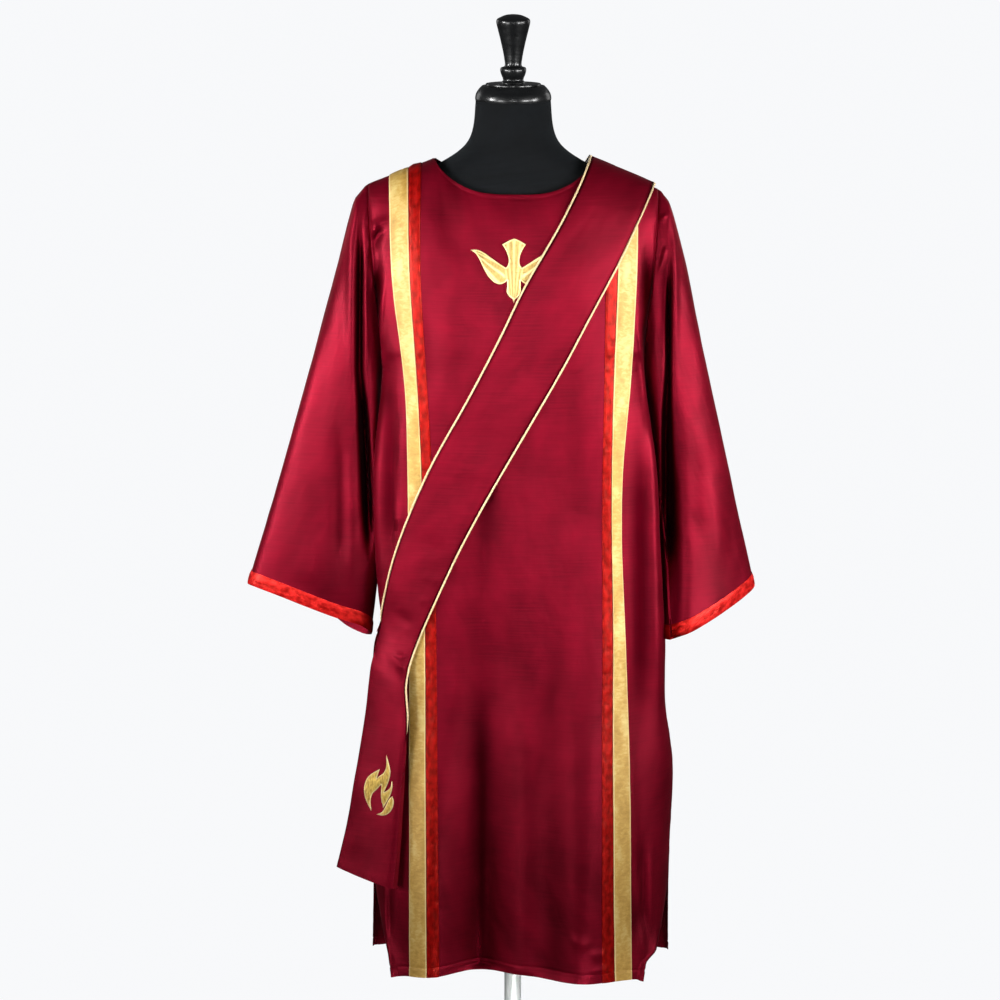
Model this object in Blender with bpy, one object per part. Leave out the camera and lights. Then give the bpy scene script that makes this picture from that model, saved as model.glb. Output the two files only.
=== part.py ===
"""A worn dalmatic with its matching stole, on a limbless dress form.

The front and the back are each cut in a centre and two sides, whose seams lie between the gold and
the red bands.  The sleeves, bands, ribbons and embroidery are pieces of their own.  Every cloth
piece is a thin wall, lofted through the sections that the tables below give.  Metres, +Z up.  The
front faces -Y, left is -X, and the origin is on the floor under the middle of the base.
"""

import math

import bpy
import bmesh
from mathutils import Vector

# ---- driving dimensions ---------------------------------------------------------------------------

CLOTH = 0.0015                # wall of the dalmatic: satin with its interlining
TRIM = 0.0010                 # wall of the bands, ribbons and embroidery
STOLE_WALL = 0.0020           # wall of the stole: two layers of satin
GAP = 0.0003                  # clearance between pieces that touch

NECK_HALF_WIDTH = 0.120       # from the middle to the neckline's end on the shoulder seam
NECK_REACH = {"front": 0.0812, "back": 0.067}
NECK_POINT = 1.4840           # height of the shoulder seam at the neckline
SHOULDER_SLOPE = 0.405
SHOULDER_LEAN = 0.018         # how much the right shoulder is below the left, in each metre across
SHOULDER_TIP = 1.4450         # height of the sleeve's seam on the shoulder
UNDERARM = 1.170
ARMHOLE_DEPTH = 0.042         # how far the armhole seam stands forward and back at its middle
CORNER = 2.6                  # squareness of the body's plan and of the neckline, 2 for an ellipse
ROLL = 2.4                    # squareness of the roll over the shoulder
EDGE_REACH = 6                # how closely the armhole's and the slit's opening keeps to the sides

HEM = 0.222                   # height of the hem at its middle
HEM_CORNER_DROP = 0.012
HEM_LEAN = 0.003              # how far the hem drops on the right and rises on the left
SLIT_TOP = 0.400
SLIT_CURVE = 1.25             # the slit would be wide open at this many times its length
SLIT_SPREAD = {"front": 0.085, "back": 0.070}     # how far each panel stands off the seam, at the hem
SLIT_TUCK = {"front": (0.034, 0.033), "back": (0.0, 0.0)}  # its left and right corners drawn in

STOLE_LIFT = 0.0050           # from the dalmatic to the stole, over the bands and the embroidery
STOLE_TOUCH = 0.0060          # how near the stole's front and back come at the hip
PIPING_RADIUS = 0.0019
PIPING_CLEARANCE = 0.0006     # from the stole's edge, which leans a little where the stole turns
PIPING_END = 0.93             # share of the last stretch that the piping covers

# ---- the body's sections --------------------------------------------------------------------------
# Seen from above: where the sides are, how far the front and back stand from the seam plane, and how
# far the side seams are drawn in between front and back, where the sleeves hang against them.

SECTION_COLUMNS = ("height", "left", "right", "front", "back", "pinch_left", "pinch_right")
SECTIONS = (
    (0.210, -0.2245, 0.2495, 0.1180, 0.1120, 0.000, 0.000),
    (0.400, -0.2190, 0.2465, 0.1120, 0.1080, 0.000, 0.000),
    (0.550, -0.2110, 0.2505, 0.1060, 0.1030, 0.000, 0.000),
    (0.650, -0.2060, 0.2470, 0.1020, 0.0990, 0.000, 0.012),
    (0.750, -0.2110, 0.2580, 0.1000, 0.0970, 0.010, 0.035),
    (0.830, -0.2310, 0.2619, 0.1000, 0.0960, 0.038, 0.056),
    (0.910, -0.2407, 0.2579, 0.1020, 0.0960, 0.050, 0.060),
    (1.020, -0.2410, 0.2471, 0.1060, 0.0970, 0.050, 0.050),
    (1.170, -0.2110, 0.2085, 0.1130, 0.1000, 0.014, 0.012),
    (1.300, -0.2120, 0.2120, 0.1160, 0.1030, 0.000, 0.000),
    (1.460, -0.2225, 0.2225, 0.1160, 0.1030, 0.000, 0.000),
)

# By height: the outer edge of the gold band on each side, and how wide each band shows from the front.

BAND_COLUMNS = ("height", "left", "right", "gold_left", "red_left", "gold_right", "red_right")
BANDS = (
    (0.210, -0.1620, 0.1858, 0.0280, 0.0196, 0.0280, 0.0200),
    (0.550, -0.1612, 0.1808, 0.0262, 0.0187, 0.0270, 0.0172),
    (0.800, -0.1605, 0.1710, 0.0250, 0.0175, 0.0184, 0.0162),
    (0.920, -0.1608, 0.1663, 0.0235, 0.0165, 0.0160, 0.0148),
    (1.020, -0.1618, 0.1680, 0.0220, 0.0160, 0.0180, 0.0143),
    (1.150, -0.1652, 0.1785, 0.0200, 0.0150, 0.0265, 0.0145),
    (1.300, -0.1838, 0.1872, 0.0280, 0.0165, 0.0295, 0.0184),
    (1.460, -0.1896, 0.1900, 0.0300, 0.0200, 0.0290, 0.0200),
)

# Soft vertical folds: ridges have a depth above zero and troughs below it.  Each one starts at its
# top and has its whole depth from `full` down.

FOLD_COLUMNS = ("face", "across", "lean", "width", "depth", "top", "full")
FOLDS = (
    ("front", -0.050, 0.020, 0.050, -0.040, 1.000, 0.260),
    ("front", 0.112, 0.010, 0.060, 0.034, 1.050, 0.300),
    ("front", -0.135, 0.010, 0.035, 0.016, 0.700, 0.260),
    ("front", 0.035, 0.000, 0.030, -0.006, 0.800, 0.350),
    ("back", 0.085, 0.015, 0.050, -0.030, 1.050, 0.300),
    ("back", -0.020, -0.010, 0.045, 0.026, 0.980, 0.280),
    ("back", -0.120, 0.012, 0.045, -0.024, 0.900, 0.300),
    ("back", 0.160, 0.000, 0.040, 0.018, 0.800, 0.300),
)

# ---- the sleeves' sections ------------------------------------------------------------------------
# From armhole to cuff: the outer and the under edge as seen from the front, how far the sleeve is
# turned about its length, and how full it is in front and behind.

SLEEVE_COLUMNS = ("outer_x", "outer_z", "inner_x", "inner_z", "turn", "front", "back")
SLEEVES = {
    "left": (
        (0.2400, 1.4250, 0.2035, 1.1350, 0.0, 0.050, 0.048),
        (0.2510, 1.3920, 0.2040, 1.0950, 0.0, 0.055, 0.052),
        (0.2650, 1.3400, 0.2035, 1.0500, 0.0, 0.055, 0.052),
        (0.2840, 1.2700, 0.2025, 1.0000, 0.0, 0.052, 0.050),
        (0.3065, 1.1870, 0.2030, 0.9450, 0.0, 0.049, 0.047),
        (0.3340, 1.0900, 0.2050, 0.8900, 0.0, 0.046, 0.044),
        (0.3635, 0.9850, 0.2085, 0.8400, 0.0, 0.044, 0.041),
        (0.3890, 0.9000, 0.2150, 0.7870, 0.0, 0.042, 0.039),
        (0.4057, 0.8445, 0.2178, 0.7637, 0.0, 0.039, 0.037),
        (0.4118, 0.8240, 0.2205, 0.7420, 0.0, 0.038, 0.036),
    ),
    "right": (
        (0.2370, 1.4200, 0.2035, 1.1350, 4.0, 0.050, 0.048),
        (0.2470, 1.3850, 0.2070, 1.0950, 10.0, 0.055, 0.052),
        (0.2590, 1.3300, 0.2120, 1.0500, 16.0, 0.055, 0.052),
        (0.2710, 1.2600, 0.2180, 1.0000, 22.0, 0.052, 0.050),
        (0.2880, 1.1770, 0.2250, 0.9450, 27.0, 0.048, 0.047),
        (0.3090, 1.0800, 0.2310, 0.8900, 32.0, 0.044, 0.044),
        (0.3325, 0.9750, 0.2345, 0.8400, 36.0, 0.040, 0.041),
        (0.3540, 0.8850, 0.2370, 0.7900, 40.0, 0.036, 0.039),
        (0.3661, 0.8330, 0.2390, 0.7690, 41.5, 0.034, 0.037),
        (0.3710, 0.8120, 0.2400, 0.7465, 42.0, 0.033, 0.036),
    ),
}

# ---- the stole's sections -------------------------------------------------------------------------
# From the shoulder to the hanging end: the neck-side and the arm-side edge as seen from the front.
# Where `free` is 0 the strip lies on the dalmatic, and where it is 1 it hangs at the depths given.

STOLE_COLUMNS = ("neck_x", "neck_z", "arm_x", "arm_z", "neck_y", "arm_y", "free")
STOLE_ACROSS = (
    (0.1180, 1.4850, 0.2130, 1.4480, 0.0, 0.0, 0.0),
    (0.0950, 1.4370, 0.1860, 1.3950, 0.0, 0.0, 0.0),
    (0.0653, 1.3820, 0.1590, 1.3410, 0.0, 0.0, 0.0),
    (0.0197, 1.3040, 0.1155, 1.2610, 0.0, 0.0, 0.0),
    (-0.0194, 1.2235, 0.0715, 1.1770, 0.0, 0.0, 0.0),
    (-0.0666, 1.1310, 0.0185, 1.0830, 0.0, 0.0, 0.0),
    (-0.1190, 1.0340, -0.0370, 0.9850, 0.100, 0.105, 0.0),
    (-0.1562, 0.9487, -0.0830, 0.8970, 0.090, 0.100, 0.0),
    (-0.1820, 0.8720, -0.1175, 0.8200, 0.078, 0.095, 0.0),
    (-0.1955, 0.8090, -0.1405, 0.7640, 0.068, 0.092, 0.0),
    (-0.2035, 0.7530, -0.1605, 0.7100, 0.060, 0.090, 0.6),
)
STOLE_ENDS = {
    "front": (
        (-0.2150, 0.7085, -0.1655, 0.6800, 0.058, 0.092, 1.0),
        (-0.2255, 0.6275, -0.1625, 0.6180, 0.060, 0.097, 1.0),
        (-0.2415, 0.5315, -0.1690, 0.5180, 0.062, 0.100, 1.0),
        (-0.2545, 0.4575, -0.1745, 0.4320, 0.064, 0.101, 1.0),
        (-0.2721, 0.3856, -0.1805, 0.3590, 0.066, 0.102, 1.0),
    ),
    "back": (
        (-0.2140, 0.7130, -0.1665, 0.6800, 0.058, 0.091, 1.0),
        (-0.2190, 0.6350, -0.1655, 0.6150, 0.060, 0.098, 1.0),
        (-0.2260, 0.5370, -0.1640, 0.5200, 0.062, 0.105, 1.0),
        (-0.2330, 0.4560, -0.1640, 0.4400, 0.064, 0.111, 1.0),
        (-0.2400, 0.3830, -0.1640, 0.3650, 0.066, 0.117, 1.0),
    ),
}
STOLE_BOW = 0.006             # how far the free end bulges between its edges
SHOULDER_SPACING = 0.20       # how close the stole's rows are on the shoulder, beside the mean

# ---- the dress form -------------------------------------------------------------------------------

TORSO_COLUMNS = ("height", "half_width", "front", "back")
TORSO = (
    (0.740, 0.148, 0.086, 0.082),
    (0.800, 0.155, 0.090, 0.086),
    (0.900, 0.152, 0.088, 0.084),
    (1.000, 0.142, 0.084, 0.080),
    (1.080, 0.140, 0.084, 0.080),
    (1.170, 0.152, 0.092, 0.084),
    (1.260, 0.170, 0.098, 0.088),
    (1.340, 0.188, 0.092, 0.084),
    (1.400, 0.199, 0.080, 0.074),
    (1.435, 0.196, 0.070, 0.066),
    (1.449, 0.178, 0.066, 0.062),
    (1.461, 0.150, 0.063, 0.059),
    (1.475, 0.119, 0.060, 0.057),
    (1.495, 0.0857, 0.058, 0.055),
    (1.512, 0.0690, 0.057, 0.054),
    (1.535, 0.0608, 0.056, 0.054),
    (1.5735, 0.0572, 0.0572, 0.0572),
)
TORSO_SEGMENTS = 28

CAP_BOTTOM = TORSO[-1][0] + GAP
CAP_PROFILE = ((0.0575, 0.0000), (0.0580, 0.0040), (0.0565, 0.0110), (0.0520, 0.0180), (0.0475, 0.0225))
PLATE_BOTTOM = CAP_BOTTOM + CAP_PROFILE[-1][1] + GAP
PLATE_RADIUS = 0.042
PLATE_THICKNESS = 0.0030
FINIAL_BOTTOM = PLATE_BOTTOM + PLATE_THICKNESS + GAP
FINIAL_PROFILE = (
    (0.0180, 0.0000), (0.0176, 0.0020), (0.0156, 0.0045), (0.0161, 0.0080), (0.0184, 0.0135),
    (0.0198, 0.0195), (0.0190, 0.0235), (0.0132, 0.0262), (0.0138, 0.0380), (0.0182, 0.0600),
    (0.0238, 0.0830), (0.0258, 0.0920), (0.0250, 0.0965), (0.0205, 0.0995), (0.0120, 0.1030),
    (0.0040, 0.1042),
)
TURNED_SEGMENTS = 28

POLE_RADIUS = 0.0131
BASE_RADIUS = 0.170
BASE_THICKNESS = 0.007
BASE_EDGE = 0.002
BOSS_RADIUS = 0.024
BOSS_HEIGHT = 0.030

# ---- the embroidery -------------------------------------------------------------------------------
# The dove's half outline, from the tail down to the beak: distance from its axis, and height over its
# middle.  The wing's outline goes out along its top edge and back along its feathers.

DOVE_AXIS = 0.0010
DOVE_MIDDLE = 1.3270
DOVE_OUTLINE = (
    (0.0000, 0.0455), (0.0090, 0.0430), (0.0175, 0.0365), (0.0115, 0.0270), (0.0072, 0.0150),
    (0.0120, 0.0045), (0.0250, 0.0075), (0.0400, 0.0165), (0.0520, 0.0235), (0.0620, 0.0268),
    (0.0545, 0.0170), (0.0480, 0.0040), (0.0400, -0.0080), (0.0300, -0.0165), (0.0205, -0.0195),
    (0.0110, -0.0155), (0.0112, -0.0260), (0.0080, -0.0350), (0.0015, -0.0460),
)
PATCH_LIFT = 0.0018
PATCH_SPACING = 0.016         # between the lines along which a patch bends with the cloth

# The flame's outline on the stole's end, across it and up it from the flame's middle, which is at a
# share of the end's width and at a height over its lower edge.  The outline is widened a little.

FLAME_ACROSS = 0.54
FLAME_MIDDLE = 0.154
FLAME_WIDE = 1.02
FLAME_OUTLINE = (
    (-0.006, 0.050), (0.005, 0.032), (0.008, 0.014), (0.002, -0.004), (0.011, 0.008),
    (0.018, 0.026), (0.021, 0.006), (0.030, -0.006), (0.028, -0.026), (0.010, -0.042),
    (-0.001, -0.045), (0.013, -0.028), (0.013, -0.014), (0.003, -0.024), (-0.002, -0.008),
    (-0.012, -0.018), (-0.015, -0.032), (-0.010, -0.044), (-0.024, -0.034), (-0.030, -0.012),
    (-0.027, 0.006), (-0.017, 0.024), (-0.017, 0.010), (-0.010, 0.012), (-0.003, 0.026),
)

# ---- how finely each piece is divided -------------------------------------------------------------

SLIT_ROWS = 3
SKIRT_ROWS = 11
ARM_ROWS = 8
SIDE_COLUMNS = 3
CENTRE_COLUMNS = 8
STOLE_ROWS = 13               # from the shoulder to the hip
STOLE_END_ROWS = 5
STOLE_COLUMNS_ACROSS = 4
PIPING_SIDES = 6


# ---- tables and curves ----------------------------------------------------------------------------

def read_table(columns, rows):
    """The rows as dictionaries, with an entry for each named column."""
    return [dict(zip(columns, row)) for row in rows]


def between(table, name, at, key="height"):
    """A column's value at a place between the rows, on a smooth curve through them."""
    last = len(table) - 1
    place = min(max(at, table[0][key]), table[last][key])
    low = 0
    while low < last - 1 and table[low + 1][key] < place:
        low += 1
    start, end = table[low], table[low + 1]
    span = end[key] - start[key]

    def slope(index):
        before, after = table[max(index - 1, 0)], table[min(index + 1, last)]
        return (after[name] - before[name]) / (after[key] - before[key])

    share = (place - start[key]) / span
    square, cube = share * share, share ** 3
    return (start[name] * (2 * cube - 3 * square + 1) + slope(low) * span * (cube - 2 * square + share)
            + end[name] * (3 * square - 2 * cube) + slope(low + 1) * span * (cube - square))


def soft_step(share):
    share = min(max(share, 0.0), 1.0)
    return share * share * (3 - 2 * share)


def mix(start, end, share):
    return start + (end - start) * share


BODY = read_table(SECTION_COLUMNS, SECTIONS)
BAND_EDGES = read_table(BAND_COLUMNS, BANDS)
FOLD_LIST = read_table(FOLD_COLUMNS, FOLDS)


# ---- the dalmatic's body --------------------------------------------------------------------------

def shoulder_height(x):
    """Height of the shoulder seam, carried on over the neck as a low arch."""
    reach = abs(x)
    level = NECK_POINT - SHOULDER_LEAN * x
    if reach > NECK_HALF_WIDTH:
        return level - SHOULDER_SLOPE * (reach - NECK_HALF_WIDTH)
    arch = 0.5 * SHOULDER_SLOPE * NECK_HALF_WIDTH
    return level + arch * (1 - (reach / NECK_HALF_WIDTH) ** 2)


def slit_share(z):
    """How far a place is down the side slit: 0 at its top and above it, 1 at the hem."""
    down = max(SLIT_TOP - z, 0.0) / (SLIT_TOP - HEM)
    return soft_step(down / SLIT_CURVE) / soft_step(1 / SLIT_CURVE)


def side_edges(face, level):
    """Sideways place of a panel's left and right edge."""
    tuck_left, tuck_right = SLIT_TUCK[face]
    drawn_in = slit_share(level)
    return (between(BODY, "left", level) + tuck_left * drawn_in,
            between(BODY, "right", level) - tuck_right * drawn_in)


def folds(face, x, z):
    total = 0.0
    for fold in FOLD_LIST:
        if fold["face"] == face and z < fold["top"]:
            middle = fold["across"] + fold["lean"] * (z - HEM)
            grown = soft_step((fold["top"] - z) / (fold["top"] - fold["full"]))
            total += fold["depth"] * grown * math.exp(-((x - middle) / fold["width"]) ** 2)
    return total


def stand_off(face, x, z, share, rise):
    """How far the cloth stands from the seam plane.  Share runs from -1 to 1 between the side edges,
    and rise from 0 at the underarm to 1 at the shoulder seam."""
    deep = between(BODY, face, z)
    if z > UNDERARM:
        deep *= (1 - rise ** ROLL) ** (1 / ROLL)
        edge = 2 * ARMHOLE_DEPTH * math.sqrt(rise * (1 - rise))
    else:
        edge = SLIT_SPREAD[face] * slit_share(z)
    edge *= abs(share) ** EDGE_REACH
    rounding = (1 - abs(share) ** CORNER) ** (1 / CORNER)
    return edge + (deep - edge + folds(face, x, z)) * rounding


def cloth_point(face, x, z):
    """The place on the dalmatic that lies at x and z as seen from the front."""
    left, right = side_edges(face, z)
    share = min(max(2 * (x - left) / (right - left) - 1, -1.0), 1.0)
    rise = min(max((z - UNDERARM) / (shoulder_height(x) - UNDERARM), 0.0), 1.0)
    out = -1 if face == "front" else 1
    return Vector((x, out * stand_off(face, x, z, share, rise), z))


def neckline_rise(face, x):
    """The rise at which a column of cloth ends: at the neckline, or on the shoulder seam."""
    if abs(x) >= NECK_HALF_WIDTH:
        return 1.0
    reach = NECK_REACH[face] * (1 - abs(x / NECK_HALF_WIDTH) ** CORNER) ** (1 / CORNER)
    low, high = 0.0, 1.0
    for _ in range(30):
        middle = (low + high) / 2
        z = UNDERARM + (shoulder_height(x) - UNDERARM) * middle
        if abs(cloth_point(face, x, z).y) > reach:
            low = middle
        else:
            high = middle
    return (low + high) / 2


def row_levels():
    """Level of each row of the body, and its rise above the underarm."""
    rows = [(mix(HEM, SLIT_TOP, row / SLIT_ROWS), 0.0) for row in range(SLIT_ROWS)]
    rows += [(mix(SLIT_TOP, UNDERARM, row / SKIRT_ROWS), 0.0) for row in range(SKIRT_ROWS)]
    for row in range(ARM_ROWS + 1):
        rise = math.sin(0.5 * math.pi * row / ARM_ROWS) ** 2
        rows.append((mix(UNDERARM, SHOULDER_TIP, rise), rise))
    return rows


def column_places(face, level):
    """Sideways places of a row's points, as pairs of x and share of the half width.  The bands' edges
    are among them."""
    left, right = side_edges(face, level)
    half, middle = (right - left) / 2, (right + left) / 2
    outer_left, outer_right = between(BAND_EDGES, "left", level), between(BAND_EDGES, "right", level)
    gold_left = outer_left + between(BAND_EDGES, "gold_left", level)
    gold_right = outer_right - between(BAND_EDGES, "gold_right", level)
    inner_left = gold_left + between(BAND_EDGES, "red_left", level)
    inner_right = gold_right - between(BAND_EDGES, "red_right", level)

    def turn_to(x, edge):
        """Places between a side edge and a band, close together where the cloth turns back."""
        start = math.asin(abs((x - middle) / half) ** (CORNER / 2))
        pinch = between(BODY, "pinch_right" if edge > 0 else "pinch_left", level)
        turned = []
        for step in range(SIDE_COLUMNS):
            back = 1 - step / SIDE_COLUMNS
            share = edge * math.sin(mix(start, math.pi / 2, back)) ** (2 / CORNER)
            turned.append((middle + half * share - edge * pinch * back ** 2, share))
        return turned

    lines = [outer_left, gold_left]
    lines += [mix(inner_left, inner_right, step / CENTRE_COLUMNS) for step in range(CENTRE_COLUMNS + 1)]
    lines += [gold_right, outer_right]
    return (turn_to(outer_left, -1) + [(x, (x - middle) / half) for x in lines]
            + turn_to(outer_right, 1)[::-1])


LEFT_GOLD = SIDE_COLUMNS
LEFT_RED = LEFT_GOLD + 1
RIGHT_RED = LEFT_RED + 1 + CENTRE_COLUMNS
RIGHT_GOLD = RIGHT_RED + 1


def panel_grid(face):
    """Outer points of the front or back, row by row from the hem to the neckline and shoulders."""
    out = -1 if face == "front" else 1
    grid = []
    for level, rise in row_levels():
        row = []
        for x, share in column_places(face, level):
            if level <= UNDERARM and rise == 0.0:
                drop = HEM_CORNER_DROP * share ** 2 + HEM_LEAN * share
                z, height = level - drop * (UNDERARM - level) / (UNDERARM - HEM), 0.0
            else:
                height = rise * neckline_rise(face, x)
                z = UNDERARM + (shoulder_height(x) - UNDERARM) * height
            row.append(Vector((x, out * (stand_off(face, x, z, share, height) + GAP / 2), z)))
        grid.append(row)
    return grid


# ---- walls from grids of points -------------------------------------------------------------------

def grid_normals(grid, outward, around=False):
    """A unit normal at each point of a grid, on the side that `outward` says at a point."""
    rows, columns = len(grid), len(grid[0])
    normals = []
    for r in range(rows):
        row = []
        for c in range(columns):
            before = (c - 1) % columns if around else max(c - 1, 0)
            after = (c + 1) % columns if around else min(c + 1, columns - 1)
            along = grid[min(r + 1, rows - 1)][c] - grid[max(r - 1, 0)][c]
            normal = along.cross(grid[r][after] - grid[r][before]).normalized()
            row.append(normal if normal.dot(outward(grid[r][c])) > 0 else -normal)
        normals.append(row)
    return normals


def moved(grid, normals, distance):
    return [[point + normal * distance for point, normal in zip(row, ways)]
            for row, ways in zip(grid, normals)]


def flatten_normal(normal, axis):
    """The normal turned into the plane of a seam that runs across the given axis."""
    turned = normal.copy()
    turned[axis] = 0.0
    return turned.normalized()


def wall(name, outer, inner, material, around=False):
    """A closed solid between an outer and an inner grid."""
    rows, columns = len(outer), len(outer[0])
    vertices = [point for row in outer for point in row] + [point for row in inner for point in row]
    under = rows * columns

    def at(r, c):
        return r * columns + c % columns

    faces = []
    for r in range(rows - 1):
        for c in range(columns if around else columns - 1):
            quad = (at(r, c), at(r, c + 1), at(r + 1, c + 1), at(r + 1, c))
            faces += [quad, tuple(under + corner for corner in reversed(quad))]
        if not around:
            for c, order in ((0, 1), (columns - 1, -1)):
                rim = (at(r, c), at(r + 1, c), under + at(r + 1, c), under + at(r, c))
                faces.append(rim[::order])
    for r, order in ((0, -1), (rows - 1, 1)):
        for c in range(columns if around else columns - 1):
            rim = (at(r, c), at(r, c + 1), under + at(r, c + 1), under + at(r, c))
            faces.append(rim[::order])
    return add_solid(name, vertices, faces, material)


def add_solid(name, vertices, faces, material):
    """An object from vertices and faces, turned outward, with its quads cut into triangles."""
    mesh = bpy.data.meshes.new(name)
    work = bmesh.new()
    corners = [work.verts.new(point) for point in vertices]
    for face in faces:
        work.faces.new([corners[index] for index in face])
    bmesh.ops.triangulate(work, faces=work.faces[:])
    bmesh.ops.recalc_face_normals(work, faces=work.faces[:])
    if work.calc_volume(signed=True) < 0:
        bmesh.ops.reverse_faces(work, faces=work.faces[:])
    work.to_mesh(mesh)
    work.free()
    mesh.shade_smooth()
    mesh.set_sharp_from_angle(angle=math.radians(40))
    mesh.materials.append(material)
    solid = bpy.data.objects.new(name, mesh)
    solid.parent = PLACE
    bpy.context.collection.objects.link(solid)
    return solid


def panel_walls(face):
    """The panel's grid and normals, with the normals along a seam turned into the seam's plane."""
    out = -1 if face == "front" else 1
    grid = panel_grid(face)
    normals = grid_normals(grid, lambda point: Vector((point.x, out * NECK_HALF_WIDTH, 0)))
    last_row, last_column = len(grid) - 1, len(grid[0]) - 1
    underarm = SLIT_ROWS + SKIRT_ROWS
    for r in range(SLIT_ROWS, len(grid)):
        for c in (0, last_column):
            normals[r][c] = flatten_normal(normals[r][c], 1 if r <= underarm else 0)
    for c, point in enumerate(grid[last_row]):
        if abs(point.x) > NECK_HALF_WIDTH:
            normals[last_row][c] = Vector((0, 0, 1))
    return grid, normals


def lay_strip(name, grid, normals, column, material):
    """A strip one column wide on top of a panel, made from the panel's own points."""
    rows, ways = [], []
    for points, directions in zip(grid, normals):
        left, right = points[column:column + 2]
        inset = (right - left).normalized() * GAP
        rows.append([left + inset, right - inset])
        ways.append(directions[column:column + 2])
    wall(name, moved(rows, ways, GAP + TRIM), moved(rows, ways, GAP), material)


def cut_panels(face, grid, normals):
    """The centre and the two sides of the front or the back, parted at the seams."""
    seams = (0, LEFT_RED, RIGHT_GOLD, len(grid[0]) - 1)
    for name, first, last in zip(("side_left_", "centre_", "side_right_"), seams, seams[1:]):
        rows = []
        for points in grid:
            row = points[first:last + 1]
            if first > 0:
                row[0] = row[0] + (row[1] - row[0]).normalized() * GAP / 2
            if last < len(points) - 1:
                row[-1] = row[-1] + (row[-2] - row[-1]).normalized() * GAP / 2
            rows.append(row)
        ways = [directions[first:last + 1] for directions in normals]
        wall(name + face, rows, moved(rows, ways, -CLOTH), MAROON)


def build_body():
    for face in ("front", "back"):
        grid, normals = panel_walls(face)
        cut_panels(face, grid, normals)
        lay_strip("gold_band_left_" + face, grid, normals, LEFT_GOLD, GOLD)
        lay_strip("red_band_left_" + face, grid, normals, LEFT_RED, RED)
        lay_strip("red_band_right_" + face, grid, normals, RIGHT_RED, RED)
        lay_strip("gold_band_right_" + face, grid, normals, RIGHT_GOLD, GOLD)


# ---- the sleeves ----------------------------------------------------------------------------------

def armhole_ring(out):
    """The armhole seam as a ring: up its front from the underarm, and down its back."""
    ring = []
    for step in range(2 * ARM_ROWS):
        angle = math.pi * step / ARM_ROWS
        rise = math.sin(angle / 2) ** 2
        x = column_places("front", mix(UNDERARM, SHOULDER_TIP, rise))[-1 if out > 0 else 0][0]
        z = UNDERARM + (shoulder_height(x) - UNDERARM) * rise
        ring.append(Vector((x + out * GAP, -math.sin(angle) * ARMHOLE_DEPTH, z)))
    return ring


def sleeve_ring(row, out):
    """A section of the sleeve, in step with the armhole's points."""
    turn = math.radians(row["turn"])
    middle_x = (row["outer_x"] + row["inner_x"]) / 2
    outer = Vector((row["outer_x"], (row["outer_x"] - middle_x) * math.tan(turn), row["outer_z"]))
    inner = Vector((row["inner_x"], (row["inner_x"] - middle_x) * math.tan(turn), row["inner_z"]))
    forward = Vector((math.sin(turn), -math.cos(turn), 0))
    ring = []
    for step in range(2 * ARM_ROWS):
        angle = math.pi * step / ARM_ROWS
        fullness = row["front"] if angle < math.pi else row["back"]
        point = mix(inner, outer, (1 - math.cos(angle)) / 2) + forward * fullness * math.sin(angle)
        ring.append(Vector((out * point.x, point.y, point.z)))
    return ring


def build_sleeve(side, out):
    grid = [armhole_ring(out)] + [sleeve_ring(row, out) for row in read_table(SLEEVE_COLUMNS, SLEEVES[side])]
    middles = [sum(ring, Vector()) / len(ring) for ring in grid]
    normals = []
    for r, middle in enumerate(middles):
        near = grid[max(r - 1, 0):r + 2]
        ways = grid_normals(near, lambda point, centre=middle: point - centre, around=True)
        normals.append(ways[0 if r == 0 else 1])
    normals[0] = [flatten_normal(point - middles[0], 0) for point in grid[0]]
    wall("sleeve_" + side, grid, moved(grid, normals, -CLOTH), MAROON, around=True)
    cuff, ways = grid[-2:], normals[-2:]
    wall("cuff_band_" + side, moved(cuff, ways, GAP + TRIM), moved(cuff, ways, GAP), RED, around=True)


# ---- the stole ------------------------------------------------------------------------------------

def stole_grid(face):
    """Points under the stole, from the shoulder seam to its hanging end."""
    rows = [dict(zip(STOLE_COLUMNS, row), along=index)
            for index, row in enumerate(STOLE_ACROSS + STOLE_ENDS[face])]
    out = -1 if face == "front" else 1
    hip = len(STOLE_ACROSS)
    places = [hip * share * mix(SHOULDER_SPACING, 1.0, share)
              for share in (step / STOLE_ROWS for step in range(STOLE_ROWS))]
    places += [mix(hip, len(rows) - 1, step / STOLE_END_ROWS) for step in range(STOLE_END_ROWS + 1)]
    grid = []
    for step, along in enumerate(places):
        at = {name: between(rows, name, along, key="along") for name in STOLE_COLUMNS}
        free = min(max(at["free"], 0.0), 1.0)
        row = []
        for column in range(STOLE_COLUMNS_ACROSS + 1):
            across = column / STOLE_COLUMNS_ACROSS
            x, z = mix(at["neck_x"], at["arm_x"], across), mix(at["neck_z"], at["arm_z"], across)
            z = min(z, shoulder_height(x))
            lying = cloth_point(face, x, z)
            depth = abs(lying.y)
            if z < UNDERARM:
                depth = max(depth, STOLE_TOUCH)
            hanging = mix(at["neck_y"], at["arm_y"], across) + 4 * STOLE_BOW * across * (1 - across)
            row.append(Vector((x, out * mix(depth, hanging, free), z)))
        grid.append(row)
    for point in grid[0]:
        point.z = shoulder_height(point.x)
        point.y = out * GAP / 2
    return grid


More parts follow.
